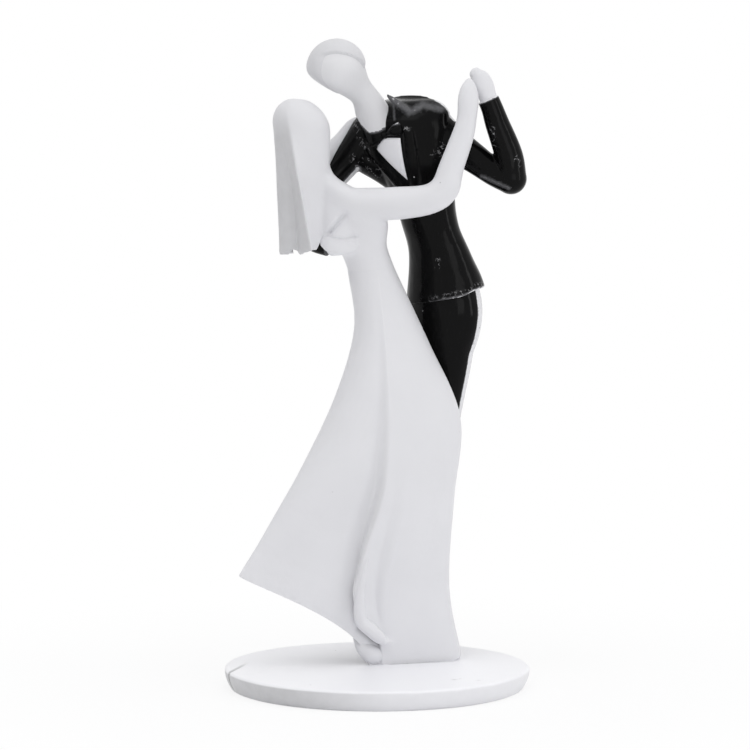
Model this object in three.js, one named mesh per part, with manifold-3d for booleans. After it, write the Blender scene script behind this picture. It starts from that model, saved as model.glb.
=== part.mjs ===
// Wedding cake topper: a faceless bride and groom dancing on a round base.
// Millimetres, +Z up, the photograph taken from -Y. The base stands on z = 0 and is centred on the origin.
import * as THREE from "three";
import { mergeVertices } from "three/addons/utils/BufferGeometryUtils.js";
import Module from "manifold-3d";

const wasm = await Module();
wasm.setup();

// Sizes of the base and of what holds the pieces together.
const BASE_DIAMETER = 63;
const BASE_THICKNESS = 4.2;
const BASE_DRAFT = 1.3;
const BASE_EDGE_ROUND = 0.6;
const GLUE_GAP = 0.3;
const DOWEL_DIAMETER = 2.0;
const DOWEL_LENGTH = 7.0;
const DOWEL_SEAT = 2.6;
const PEG_DIAMETER = 2.2;
const PEG_LENGTH = 2.6;

// Height of the couple above the base. The heights further down are drawn for DRAWN_HEIGHT, and every piece
// is stretched upwards from there.
const FIGURE_HEIGHT = 129.3;
const DRAWN_HEIGHT = 129.3;

// Sizes of the bride.
const BRIDE_HEAD_RADIUS = 4.4;
const BRIDE_NECK_RADIUS = 2.3;
const BRIDE_ARM_RADIUS = 3.4;
const BRIDE_WRIST_RADIUS = 1.9;
const BRIDE_LEG_RADIUS = 2.4;
const BRIDE_SHOE_WIDTH = 4.8;
const BRIDE_SHOE_HEIGHT = 3.4;
const SKIRT_WALL = 2.0;
const VEIL_THICKNESS = 1.3;
const FOLD_DEPTH = 3.2;

// Sizes of the groom.
const GROOM_HEAD_RADIUS = 5.8;
const GROOM_NECK_RADIUS = 3.5;
const SLEEVE_RADIUS = 3.8;
const CUFF_RADIUS = 2.5;
const WRIST_RADIUS = 1.7;
const TROUSER_RADIUS = 4.7;
const ANKLE_RADIUS = 2.9;
const GROOM_SHOE_WIDTH = 5.4;
const GROOM_SHOE_HEIGHT = 3.6;
const LAPEL_WIDTH = 2.2;
const LAPEL_RISE = 1.0;
const COLLAR_THICKNESS = 1.1;
const BOW_TIE_WIDTH = 7.4;
const BOW_TIE_HEIGHT = 2.6;

// Hair stands this far above the head, and reaches this far down into it.
const HAIR_RISE = 0.5;
const HAIR_DEPTH = 0.8;

const white = new THREE.MeshStandardMaterial({ color: 0xe8e8ea, roughness: 0.55 });
const black = new THREE.MeshStandardMaterial({ color: 0x141416, roughness: 0.2 });
const steel = new THREE.MeshStandardMaterial({ color: 0xb4b8bc, roughness: 0.35, metalness: 1 });

const vec = (x, y, z) => new THREE.Vector3(x, y, z);

// A closed mesh as a solid, turned the right way out.
function solidOf(geometry) {
  const bare = new THREE.BufferGeometry();
  bare.setAttribute("position", geometry.attributes.position);
  bare.setIndex(geometry.index);
  const merged = mergeVertices(bare, 1e-4);
  const index = [];
  const source = merged.index.array;
  for (let i = 0; i < source.length; i += 3) {
    const [a, b, c] = [source[i], source[i + 1], source[i + 2]];
    if (a !== b && b !== c && c !== a) index.push(a, b, c);
  }
  const build = (tris) =>
    new wasm.Manifold(
      new wasm.Mesh({
        numProp: 3,
        vertProperties: Float32Array.from(merged.attributes.position.array),
        triVerts: Uint32Array.from(tris),
      }),
    );
  const solid = build(index);
  if (solid.volume() > 0) return solid;
  const turned = [];
  for (let i = 0; i < index.length; i += 3) turned.push(index[i], index[i + 2], index[i + 1]);
  return build(turned);
}

// The largest body of a solid, as a named mesh, stretched to the wanted height above the base.
function piece(name, solid, material) {
  const stretched = solid.warp((point) => {
    if (point[2] > 0) point[2] *= FIGURE_HEIGHT / DRAWN_HEIGHT;
  });
  const bodies = stretched.decompose().sort((a, b) => b.volume() - a.volume());
  const mesh = bodies[0].getMesh();
  const geometry = new THREE.BufferGeometry();
  geometry.setAttribute("position", new THREE.BufferAttribute(Float32Array.from(mesh.vertProperties), 3));
  geometry.setIndex(Array.from(mesh.triVerts));
  geometry.computeVertexNormals();
  const result = new THREE.Mesh(geometry, material);
  result.name = name;
  return result;
}

// Closed rings of equal count joined into a skin, with a fan to one point at each end.
function skin(rings, first, last) {
  const count = rings[0].length;
  const points = rings.flat();
  const start = points.length;
  points.push(first, last);
  const index = [];
  for (let k = 0; k < count; k += 1) {
    const next = (k + 1) % count;
    index.push(start, next, k);
    for (let r = 0; r < rings.length - 1; r += 1) {
      const low = r * count;
      const high = low + count;
      index.push(low + k, low + next, high + next, low + k, high + next, high + k);
    }
    const end = (rings.length - 1) * count;
    index.push(end + k, end + next, start + 1);
  }
  const geometry = new THREE.BufferGeometry().setFromPoints(points);
  geometry.setIndex(index);
  return solidOf(geometry);
}

// A smooth curve through rows of three numbers.
const curveThrough = (rows) =>
  new THREE.CatmullRomCurve3(
    rows.map((row) => vec(...row)),
    false,
    "catmullrom",
    0.5,
  );

const midOf = (ring) => ring.reduce((sum, p) => sum.add(p), vec(0, 0, 0)).divideScalar(ring.length);

// One oval ring square to `tangent`, its width along `across`.
function oval(centre, tangent, across, wide, deep = wide, sides = 14) {
  const side = across.clone().addScaledVector(tangent, -across.dot(tangent)).normalize();
  const other = tangent.clone().cross(side);
  return Array.from({ length: sides }, (_, k) => {
    const angle = (2 * Math.PI * k) / sides;
    return centre
      .clone()
      .addScaledVector(side, wide * Math.cos(angle))
      .addScaledVector(other, deep * Math.sin(angle));
  });
}

// Oval sections strung along a smooth line. A station is [x, y, z, half-width, half-depth]; the width
// lies along `across`. Ends are domed unless `flat` says otherwise, `grow` swells it all round, and the
// sections of a `level` one stay horizontal.
function limb(stations, across, { grow = 0, sides = 12, steps = 2, flat = [false, false], level = false } = {}) {
  const centres = curveThrough(stations.map((s) => s.slice(0, 3)));
  const halves = curveThrough(stations.map((s) => [s[3], s[4] ?? s[3], 0]));
  const ringAt = (centre, tangent, wide, deep) => oval(centre, tangent, across, wide, deep, sides);
  const total = (stations.length - 1) * steps;
  const rings = [];
  for (let i = 0; i <= total; i += 1) {
    const half = halves.getPoint(i / total);
    const [wide, deep] = [Math.max(half.x, 0.2) + grow, Math.max(half.y, 0.2) + grow];
    const tangent = level ? vec(0, 0, 1) : centres.getTangent(i / total);
    rings.push([centres.getPoint(i / total), tangent, wide, deep]);
  }
  const dome = ([centre, tangent, wide, deep], way) => {
    const long = Math.min(wide, deep);
    return [0.4, 0.75].map((share) => {
      const lean = (share * Math.PI) / 2;
      return [
        centre.clone().addScaledVector(tangent, way * long * Math.sin(lean)),
        tangent,
        wide * Math.cos(lean),
        deep * Math.cos(lean),
      ];
    });
  };
  const tip = ([centre, tangent, wide, deep], way, isFlat) =>
    centre.clone().addScaledVector(tangent, way * (isFlat ? 0 : Math.min(wide, deep)));
  const [head, tail] = [rings[0], rings[total]];
  if (flat[0]) head[0] = head[0].clone().addScaledVector(head[1], -grow);
  if (flat[1]) tail[0] = tail[0].clone().addScaledVector(tail[1], grow);
  const all = [
    ...(flat[0] ? [] : dome(head, -1).reverse()),
    ...rings,
    ...(flat[1] ? [] : dome(tail, 1)),
  ];
  return skin(
    all.map((ring) => ringAt(...ring)),
    tip(head, -1, flat[0]),
    tip(tail, 1, flat[1]),
  );
}

// A turned solid: `profile` is [radius, distance along the axis], set on `origin` and aimed along `axis`.
function turned(profile, origin, axis, segments = 24) {
  const lathe = new THREE.LatheGeometry(
    profile.map(([radius, along]) => new THREE.Vector2(Math.max(radius, 0), along)),
    segments,
  );
  const turn = new THREE.Quaternion().setFromUnitVectors(vec(0, 1, 0), axis.clone().normalize());
  lathe.applyQuaternion(turn);
  lathe.translate(origin.x, origin.y, origin.z);
  return solidOf(lathe);
}

// A round pin from `start` to `end`.
function pin(start, end, radius, grow = 0) {
  const axis = end.clone().sub(start);
  const long = axis.length() + grow;
  return turned(
    [
      [0, -grow],
      [radius + grow, -grow],
      [radius + grow, long],
      [0, long],
    ],
    start,
    axis,
    12,
  );
}

// A thick slab filling everything past `point` on the side of `normal`, for cutting with a plane.
function pastPlane(point, normal) {
  const reach = 120;
  const slab = new THREE.BoxGeometry(reach * 2, reach * 2, reach);
  slab.translate(0, 0, reach / 2);
  slab.applyQuaternion(new THREE.Quaternion().setFromUnitVectors(vec(0, 0, 1), normal.clone().normalize()));
  slab.translate(point.x, point.y, point.z);
  return solidOf(slab);
}

// Head and neck in one bulb: a half ball at the crown that tapers smoothly into the neck, along a bent line
// from the middle of the head to the foot of the neck.
const TAPER_LENGTH = 1.55;
function bulb(line, ballRadius, neckRadius, grow = 0) {
  const long = line.getLength();
  const taper = Math.min(ballRadius * TAPER_LENGTH, long);
  const [start, aim] = [line.getPoint(0), line.getTangent(0)];
  const across = vec(0, 1, 0);
  const rings = [0.2, 0.4, 0.6, 0.8].map((share) => {
    const lean = (share * Math.PI) / 2;
    const along = -(ballRadius + grow) * Math.cos(lean);
    return oval(start.clone().addScaledVector(aim, along), aim, across, (ballRadius + grow) * Math.sin(lean));
  });
  for (const along of [0, 0.2, 0.4, 0.6, 0.8, 1].map((share) => share * taper).concat(long)) {
    const left = 1 - Math.min(along / taper, 1) ** 2;
    const radius = neckRadius + (ballRadius - neckRadius) * left ** 3 + grow;
    const tangent = line.getTangentAt(along / long);
    const spot = line.getPointAt(along / long);
    if (along === long) spot.addScaledVector(tangent, grow);
    rings.push(oval(spot, tangent, across, radius));
  }
  return skin(rings, start.clone().addScaledVector(aim, -ballRadius - grow), midOf(rings.at(-1)));
}

const join = (...solids) => solids.reduce((sum, solid) => sum.add(solid));
const cut = (solid, ...tools) => tools.reduce((rest, tool) => rest.subtract(tool), solid);

// Heights in the figures are measured from the top of the base, and the whole couple is lifted onto it.
const couple = new THREE.Group();
couple.name = "couple";
couple.position.z = BASE_THICKNESS;
const underBase = pastPlane(vec(0, 0, 0), vec(0, 0, -1));

// The groom stands square to this pair of directions, and the bride faces the other way.
const groomAcross = vec(0.8, -0.6, 0);
const groomFacing = vec(-0.6, -0.8, 0);
const brideAcross = vec(0.8, -0.6, 0);
const brideFacing = vec(0.6, 0.8, 0);

// Dowels stand in the base and run up into the bride's leg and the groom's two legs.
const brideFoot = vec(2.6, 8.2, 0);
const groomLeftFoot = vec(10.4, 22.0, 0);
const groomRightFoot = vec(3.6, 24.0, 0);
const dowelBottom = -DOWEL_SEAT;
const dowelAt = (foot, grow = 0) =>
  pin(
    vec(foot.x, foot.y, dowelBottom),
    vec(foot.x, foot.y, dowelBottom + DOWEL_LENGTH),
    DOWEL_DIAMETER / 2,
    grow,
  );
const feet = { bride: brideFoot, groom_left: groomLeftFoot, groom_right: groomRightFoot };
for (const [owner, foot] of Object.entries(feet)) {
  couple.add(piece(`${owner}_dowel`, dowelAt(foot), steel));
}

// The base is a disc that narrows a little towards its underside, with a softened upper edge.
const baseRadius = BASE_DIAMETER / 2;
const baseOutline = new THREE.Path();
baseOutline.moveTo(0, -BASE_THICKNESS);
baseOutline.lineTo(baseRadius - BASE_DRAFT, -BASE_THICKNESS);
baseOutline.quadraticCurveTo(
  baseRadius,
  -BASE_THICKNESS / 2,
  baseRadius,
  -BASE_EDGE_ROUND,
);
baseOutline.quadraticCurveTo(baseRadius, 0, baseRadius - BASE_EDGE_ROUND, 0);
baseOutline.lineTo(0, 0);
const baseDisc = turned(
  baseOutline.getPoints(3).map((p) => [p.x, p.y]),
  vec(0, 0, 0),
  vec(0, 0, 1),
  40,
);
const baseHoles = Object.values(feet).map((foot) => dowelAt(foot, GLUE_GAP));
couple.add(piece("base_plate", cut(baseDisc, ...baseHoles), white));

// A shoe runs from heel to toe along the ground, with a flat sole.
function shoe(foot, facing, width, height, grow = 0) {
  const side = vec(-facing.y, facing.x, 0);
  const at = (along, half, high) => {
    const spot = foot.clone().addScaledVector(facing, along);
    return [spot.x, spot.y, high * 0.35, half, high * 0.65];
  };
  const stations = [
    at(-1.4, width * 0.34, height * 0.9),
    at(0.6, width * 0.4, height),
    at(3.6, width * 0.5, height * 0.95),
    at(6.0, width * 0.42, height * 0.72),
  ];
  return cut(limb(stations, side, { grow, sides: 12, steps: 1 }), underBase);
}

// Bride's leg and shoe stand inside the hollow of the skirt.
const brideShoeFacing = vec(-0.5, -0.87, 0);
const brideShoe = (grow) => shoe(brideFoot, brideShoeFacing, BRIDE_SHOE_WIDTH, BRIDE_SHOE_HEIGHT, grow);
const brideHip = vec(1.6, 5.4, 42);
const brideLeg = (grow) =>
  limb(
    [
      [brideFoot.x, brideFoot.y, 1.2, BRIDE_LEG_RADIUS * 0.75],
      [2.4, 7.6, 12, BRIDE_LEG_RADIUS * 0.9],
      [2.0, 6.6, 26, BRIDE_LEG_RADIUS],
      [brideHip.x, brideHip.y, brideHip.z, BRIDE_LEG_RADIUS],
    ],
    brideAcross,
    { grow, sides: 10, steps: 1, flat: [true, true] },
  );
couple.add(piece("bride_shoe", cut(brideShoe(0), dowelAt(brideFoot, GLUE_GAP)), white));
couple.add(
  piece("bride_leg", cut(brideLeg(0), brideShoe(GLUE_GAP), dowelAt(brideFoot, GLUE_GAP)), white),
);

// The skirt hangs on four ribs, each a smooth curve from waist to hem: right, front, left (the train) and
// back. Between two ribs the section is a quarter of an oval. A fold runs down the left of the front rib.
const skirtRibs = {
  right: curveThrough([
    [3.5, 4.2, 82],
    [10.6, 5.2, 67],
    [17.3, 6.0, 51],
    [16.1, 6.2, 34],
    [15.0, 6.4, 16],
    [16.4, 6.0, 0],
  ]),
  front: curveThrough([
    [0.2, -1.6, 82],
    [1.8, -3.6, 67.5],
    [2.6, -5.0, 52.5],
    [1.4, -4.6, 37],
    [-1.9, -2.4, 21],
    [-4.2, 0.4, 6.5],
  ]),
  left: curveThrough([
    [-6.5, 2.4, 82],
    [-5.2, 1.8, 70],
    [-8.6, 0.8, 56.5],
    [-14.8, -0.6, 43],
    [-21.3, -2.2, 31],
    [-28.1, -4.0, 19.5],
  ]),
  back: curveThrough([
    [-2.4, 7.6, 82],
    [0.6, 8.4, 67],
    [3.4, 8.8, 51],
    [4.4, 9.8, 34],
    [5.0, 11.4, 16],
    [5.5, 13.2, 0],
  ]),
};
const bell = (x) => Math.exp(-x * x);
const smooth = (low, high, x) => THREE.MathUtils.smoothstep(x, low, high);
const foldAngle = THREE.MathUtils.degToRad(9);
const foldWidth = THREE.MathUtils.degToRad(6);
const beadWidth = THREE.MathUtils.degToRad(3.5);

// One point of the skirt: `down` runs from 0 at the waist to 1 at the hem, `angle` turns from right to back.
function skirtPoint(down, angle, inset) {
  const [c, s] = [Math.cos(angle), Math.sin(angle)];
  const right = skirtRibs.right.getPoint(down);
  const left = skirtRibs.left.getPoint(down);
  const front = skirtRibs.front.getPoint(down);
  const back = skirtRibs.back.getPoint(down);
  const span = right.x - left.x;
  const share = ((front.x + back.x) / 2 - left.x) / span;
  const middle = left.clone().lerp(right, share);
  const side = c > 0 ? right : left;
  const face = s > 0 ? back : front;
  const fromFold = angle - (1.5 * Math.PI - foldAngle);
  const fromRidge = angle - 1.5 * Math.PI;
  const valley = FOLD_DEPTH * smooth(0.3, 0.85, down) * bell(fromFold / foldWidth);
  const bead = 0.9 * smooth(0.55, 0.9, down) * bell(fromRidge / beadWidth);
  const out = side
    .clone()
    .sub(middle)
    .multiplyScalar(Math.abs(c))
    .addScaledVector(face.clone().sub(middle), Math.abs(s));
  out.z = 0;
  const reach = out.length();
  out.multiplyScalar((reach - valley + bead - inset) / reach);
  const sideways = c > 0 && s < 0 ? 0.4 : 1.0;
  const height = THREE.MathUtils.lerp(face.z, side.z, Math.abs(c) ** sideways);
  return vec(middle.x + out.x, middle.y + out.y, height);
}

const skirtSides = 44;
const skirtRing = (down, inset, drop = 0) =>
  Array.from({ length: skirtSides }, (_, k) => {
    const turn = k / skirtSides - 0.75;
    const crowded = turn - (0.62 * Math.sin(2 * Math.PI * turn)) / (2 * Math.PI) + 0.75;
    const point = skirtPoint(down, 2 * Math.PI * crowded, inset);
    point.z -= drop;
    return point;
  });
const skirtOuter = [0, 0.14, 0.28, 0.42, 0.56, 0.68, 0.79, 0.9, 1.0];
const skirtInner = [1.0, 0.9, 0.79, 0.68];
const skirtRings = [
  ...skirtOuter.map((down) => skirtRing(down, 0)),
  ...skirtInner.map((down) => skirtRing(down, SKIRT_WALL)),
];
const skirtBody = skin(skirtRings, midOf(skirtRings[0]), midOf(skirtRings.at(-1)));

// Bride's upper body: hips, bust, shoulders and neck, leaning back to the left.
const brideBody = (grow) =>
  limb(
    [
      [-1.5, 3.2, 82, 5.0, 4.5],
      [-3.0, 2.6, 87, 5.4, 4.6],
      [-4.7, 1.4, 92, 7.8, 5.0],
      [-7.2, 0.3, 96.6, 6.8, 4.4],
      [-10.4, -0.6, 100.8, 3.4, 3.0],
      [-12.2, -1.2, 103.8, BRIDE_NECK_RADIUS + 0.2],
      [-13.2, -1.6, 107, BRIDE_NECK_RADIUS],
    ],
    brideAcross,
    { grow, sides: 16, steps: 2, flat: [true, true], level: true },
  );
const waistPeg = (grow) => pin(vec(-1.6, 3.2, 78), vec(-1.6, 3.2, 82 + PEG_LENGTH), PEG_DIAMETER, grow);
const aboveWaist = pastPlane(vec(0, 0, 82 + GLUE_GAP), vec(0, 0, -1));

// The neckline is a V, front and back, and the bodice is what lies under it.
const necklineLow = vec(-5.2, 1.2, 90.5);
const neckline = (lift, way) =>
  pastPlane(
    necklineLow.clone().add(vec(0, 0, lift)),
    vec(0, 0, 1)
      .addScaledVector(brideAcross, -0.8 * way)
      .addScaledVector(brideFacing, -0.25),
  );
const upperRegion = (lift) => neckline(lift, 1).intersect(neckline(lift, -1));
const bodicePeg = (grow) =>
  pin(vec(-3.8, 2.0, 87.5), vec(-6.0, 1.0, 91 + PEG_LENGTH), PEG_DIAMETER / 2, grow);

// Bride's head is turned up to the groom; hair covers all but the face, and the neck runs up into it.
const brideHeadAt = vec(-14.6, -1.9, 110.6);
const brideNeckFoot = vec(-12.6, -1.3, 104.2);
const brideHeadAxis = brideNeckFoot.clone().sub(brideHeadAt);
const brideHeadLine = new THREE.LineCurve3(brideHeadAt, brideHeadAt.clone().lerp(brideNeckFoot, 0.7));
const brideHeadShape = (grow) => bulb(brideHeadLine, BRIDE_HEAD_RADIUS, BRIDE_NECK_RADIUS, grow);
const brideNeckPeg = (grow) =>
  pin(brideNeckFoot.clone(), brideHeadAt.clone().lerp(brideNeckFoot, 0.35), PEG_DIAMETER / 2, grow);
const brideFaceAt = brideHeadAt.clone().addScaledVector(brideFacing, 1.6);
const brideNape = brideHeadAt.clone().lerp(brideNeckFoot, 0.45);

// Hair is the outer skin of the head, behind the face and above the nape.
function hairRegion(faceAt, facing, nape, axis, grow) {
  const behind = pastPlane(faceAt.clone().addScaledVector(facing, grow), facing.clone().negate());
  const above = pastPlane(nape.clone().addScaledVector(axis.clone().normalize(), grow), axis.clone().negate());
  return behind.intersect(above);
}
const brideHair = (grow) =>
  cut(brideHeadShape(HAIR_RISE + grow), brideHeadShape(-HAIR_DEPTH - grow)).intersect(
    hairRegion(brideFaceAt, brideFacing, brideNape, brideHeadAxis, grow),
  );

// The veil is a sheet over the hair: a dome over the crown, then a drape down the back with folds that
// deepen towards the hem; the main fold turns as it falls. `along` runs from its right edge round the back
// to its left edge and `down` from the crown to the hem.
const VEIL_DOME_RADIUS = 6.2;
const VEIL_HEM_HEIGHT = 86.2;
const veilDomeShare = 0.24;
const veilDomeAt = vec(-15.1, -2.0, 110.8);
const veilFoot = vec(-15.4, -1.6, VEIL_HEM_HEIGHT);
const veilFootHalf = [4.4, 5.2];
const ridgeAlong = 0.3;
const deg = THREE.MathUtils.degToRad;
const mix = THREE.MathUtils.lerp;
function veilPoint(along, down, inset) {
  const drape = Math.max(down - veilDomeShare, 0) / (1 - veilDomeShare);
  const lean = Math.min(down / veilDomeShare, 1) * (Math.PI / 2);
  const open = smooth(0.05, 0.7, drape);
  const ridge = mix(deg(80), deg(30), down);
  const before = mix(deg(-70), deg(-2), open) - ridge;
  const after = mix(deg(250), deg(195), open) - ridge;
  const away = along < ridgeAlong ? mix(before, 0, along / ridgeAlong) : mix(0, after, (along - ridgeAlong) / (1 - ridgeAlong));
  const angle = ridge + away;
  const fold =
    smooth(0, 0.55, drape) *
    (1.5 * bell(away / deg(16)) -
      0.9 * bell((away - deg(34)) / deg(15)) +
      0.8 * bell((away - deg(66)) / deg(18)));
  const centre = veilDomeAt.clone().lerp(veilFoot, drape);
  const slim = smooth(0, 1, drape);
  const wide = (mix(VEIL_DOME_RADIUS, veilFootHalf[0], slim) + fold - inset) * Math.sin(lean);
  const deep = (mix(VEIL_DOME_RADIUS, veilFootHalf[1], slim) + fold - inset) * Math.sin(lean);
  const rise = (VEIL_DOME_RADIUS - inset) * Math.cos(lean);
  const wave = 0.7 * Math.sin(5 * angle) * smooth(0.75, 1, drape);
  return centre
    .addScaledVector(brideAcross, wide * Math.cos(angle))
    .addScaledVector(brideFacing, -deep * Math.sin(angle))
    .add(vec(0, 0, rise + wave));
}
const veilAlong = 20;
const veilDowns = [0.03, 0.1, 0.17, 0.24, 0.4, 0.55, 0.7, 0.85, 1.0];
const veilRings = veilDowns.map((down) => {
  const outer = Array.from({ length: veilAlong + 1 }, (_, k) => veilPoint(k / veilAlong, down, 0));
  const inner = Array.from({ length: veilAlong + 1 }, (_, k) => veilPoint(1 - k / veilAlong, down, VEIL_THICKNESS));
  return [...outer, ...inner];
});

// Arms of the bride. The right one crosses the groom's chest and rises to the joined hands; the left one
// reaches round to the groom's shoulder. Each has a peg that sits in the upper body.
const brideRightArm = (grow) =>
  limb(
    [
      [-3.4, -2.3, 95.4, BRIDE_ARM_RADIUS],
      [0.4, -3.5, 95.5, BRIDE_ARM_RADIUS],
      [4.8, -4.4, 95.7, BRIDE_ARM_RADIUS],
      [10.6, -5.0, 96.3, BRIDE_ARM_RADIUS * 0.95],
      [13.7, -4.9, 98.6, BRIDE_ARM_RADIUS * 0.9],
      [15.1, -4.4, 102.9, BRIDE_ARM_RADIUS * 0.78],
      [17.2, -3.4, 109.4, BRIDE_WRIST_RADIUS * 1.15],
      [18.2, -2.9, 113.0, BRIDE_WRIST_RADIUS],
      [18.7, -2.6, 116.6, 2.1, 1.6],
      [19.3, -2.2, 120.4, 1.2, 1.0],
    ],
    vec(0.9, 0.44, 0),
    { grow, sides: 10, steps: 2 },
  );
const brideLeftArm = (grow) =>
  limb(
    [
      [-11.0, 3.4, 97.4, BRIDE_ARM_RADIUS * 0.8],
      [-13.4, 6.4, 99.4, BRIDE_ARM_RADIUS * 0.82],
      [-13.8, 10.0, 102.8, BRIDE_ARM_RADIUS * 0.75],
      [-11.2, 12.0, 106.8, BRIDE_WRIST_RADIUS * 1.15],
      [-8.6, 12.8, 109.8, BRIDE_WRIST_RADIUS],
      [-6.5, 13.3, 111.9, 2.1, 1.3],
      [-4.6, 13.6, 113.0, 1.2, 0.8],
    ],
    vec(0.6, 0, 0.8),
    { grow, sides: 9, steps: 2 },
  );
const brideRightPeg = (grow) => pin(vec(-3.4, -2.3, 95.4), vec(-7.8, -0.6, 95.4), PEG_DIAMETER / 2, grow);
const brideLeftPeg = (grow) => pin(vec(-11.4, 4.0, 98.0), vec(-8.9, 1.8, 96.4), PEG_DIAMETER / 2, grow);

// Groom's trousers: hips and two legs.
const groomHips = [
  [14.2, 13.2, 76.4, 7.9, 6.2],
  [14.2, 13.3, 71.6, 8.4, 6.4],
  [13.4, 13.8, 66, 7.9, 6.0],
];
const trousers = (grow) =>
  join(
    limb(groomHips, groomAcross, { grow, sides: 14, steps: 1, flat: [true, false] }),
    limb(
      [
        [16.4, 11.7, 74, TROUSER_RADIUS, TROUSER_RADIUS * 1.15],
        [15.3, 12.6, 63, TROUSER_RADIUS * 0.98],
        [13.0, 14.8, 48, TROUSER_RADIUS * 0.88],
        [11.0, 17.8, 26, TROUSER_RADIUS * 0.74],
        [groomLeftFoot.x, groomLeftFoot.y, 2.2, ANKLE_RADIUS],
      ],
      groomAcross,
      { grow, sides: 10, steps: 1, flat: [false, true] },
    ),
    limb(
      [
        [11.4, 15.2, 74, TROUSER_RADIUS, TROUSER_RADIUS * 1.1],
        [9.4, 16.6, 63, TROUSER_RADIUS * 0.98],
        [7.0, 18.6, 48, TROUSER_RADIUS * 0.88],
        [4.8, 20.6, 26, TROUSER_RADIUS * 0.74],
        [groomRightFoot.x, groomRightFoot.y, 2.2, ANKLE_RADIUS],
      ],
      groomAcross,
      { grow, sides: 10, steps: 1, flat: [false, true] },
    ),
  );
const groomShoeFacings = { left: vec(-0.35, -0.94, 0), right: vec(-0.75, -0.66, 0) };
const groomShoe = (side, grow) =>
  shoe(
    side === "left" ? groomLeftFoot : groomRightFoot,
    groomShoeFacings[side],
    GROOM_SHOE_WIDTH,
    GROOM_SHOE_HEIGHT,
    grow,
  );

// Groom's jacket, from the hem to the top of the shoulders.
const jacketStations = [
  [14.2, 13.0, 76.6, 8.9, 7.1],
  [13.2, 12.1, 84.2, 7.0, 5.6],
  [11.1, 11.1, 90.6, 6.3, 5.2],
  [9.8, 10.5, 97, 7.8, 6.0],
  [8.0, 9.9, 103.2, 10.0, 6.6],
  [6.6, 9.4, 108.6, 10.9, 6.3],
  [6.0, 9.0, 112.2, 10.6, 5.6],
  [7.0, 8.9, 114.4, 8.4, 3.3],
];
const jacketShape = (grow) =>
  limb(jacketStations, groomAcross, { grow, sides: 18, steps: 2, flat: [true, false], level: true });

// The point on the front of the jacket at a height, `across` from its middle and `out` from its skin.
const jacketCentres = curveThrough(jacketStations.map((s) => s.slice(0, 3)));
const jacketHalves = curveThrough(jacketStations.map((s) => [s[3], s[4], 0]));
function onJacket(across, height, out) {
  let [low, high] = [0, 1];
  for (let i = 0; i < 30; i += 1) {
    const middle = (low + high) / 2;
    if (jacketCentres.getPoint(middle).z < height) low = middle;
    else high = middle;
  }
  const half = jacketHalves.getPoint(low);
  const depth = half.y * Math.sqrt(Math.max(1 - (across / half.x) ** 2, 0)) + out;
  return jacketCentres.getPoint(low).addScaledVector(groomAcross, across).addScaledVector(groomFacing, depth);
}
const hipPeg = (grow) => pin(vec(14.2, 13.2, 74), vec(14.0, 12.9, 76.4 + GLUE_GAP + PEG_LENGTH), PEG_DIAMETER, grow);

// Groom's head leans over to the bride, on a neck that runs down into the jacket.
const groomHeadAt = vec(-8.2, 4.0, 123.1);
const groomNeckBend = vec(-2.4, 7.0, 116.4);
const groomNeckFoot = vec(0.4, 8.8, 109.4);
const groomHeadAxis = groomNeckBend.clone().sub(groomHeadAt);
const groomHeadLine = new THREE.QuadraticBezierCurve3(groomHeadAt, groomNeckBend, groomNeckFoot);
const groomHeadShape = (grow) => bulb(groomHeadLine, GROOM_HEAD_RADIUS, GROOM_NECK_RADIUS, grow);
const groomFacePlane = vec(0.5, -0.82, -0.29);
const groomFaceAt = groomHeadAt.clone().addScaledVector(groomFacePlane, GROOM_HEAD_RADIUS * 0.66);
const groomNape = groomHeadAt.clone().lerp(groomNeckFoot, 0.2);
const groomHair = (grow) =>
  cut(groomHeadShape(HAIR_RISE + grow), groomHeadShape(-HAIR_DEPTH - grow)).intersect(
    hairRegion(groomFaceAt, groomFacePlane, groomNape, groomHeadAxis, grow),
  );

// The shirt front is a wedge of the chest inside the lapels; points are [across the chest, height].
const chestAt = vec(6.6, 9.4, 0);
const chestPoint = (across, height, out) =>
  chestAt
    .clone()
    .addScaledVector(groomAcross, across)
    .addScaledVector(groomFacing, out)
    .add(vec(0, 0, height));
const shirtOutline = [
  [-2.3, 106.4],
  [0.1, 108.8],
  [3.1, 109.0],
  [2.3, 99.6],
];
function shirtWedge(grow) {
  const middle = [0.8, 106];
  const swell = ([a, h]) => {
    const long = Math.hypot(a - middle[0], h - middle[1]);
    return [a + ((a - middle[0]) * grow) / long, h + ((h - middle[1]) * grow) / long];
  };
  const near = shirtOutline.map((p) => chestPoint(...swell(p), 10));
  const far = shirtOutline.map((p) => chestPoint(...swell(p), 3.6 - grow));
  return skin([near, far], midOf(near), midOf(far));
}

// Bow tie: two flared wings and a knot, at the foot of the neck.
const bowTieAt = chestPoint(-0.9, 109.6, 6.3);
const bowTieAcross = vec(0.75, -0.56, 0.36);
const bowTie = (grow) => {
  const high = BOW_TIE_HEIGHT / 2;
  const reach = BOW_TIE_WIDTH / 2;
  const at = (across, half, deep) => {
    const spot = bowTieAt.clone().addScaledVector(bowTieAcross, across);
    return [spot.x, spot.y, spot.z, half, deep];
  };
  return limb(
    [
      at(-reach, high, 0.8),
      at(-reach * 0.6, high * 0.9, 1.0),
      at(-reach * 0.2, high * 0.45, 0.8),
      at(0, high * 0.6, 1.1),
      at(reach * 0.2, high * 0.45, 0.8),
      at(reach * 0.6, high * 0.9, 1.0),
      at(reach, high, 0.8),
    ],
    vec(0, 0, 1),
    { grow, sides: 10, steps: 2 },
  );
};

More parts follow.
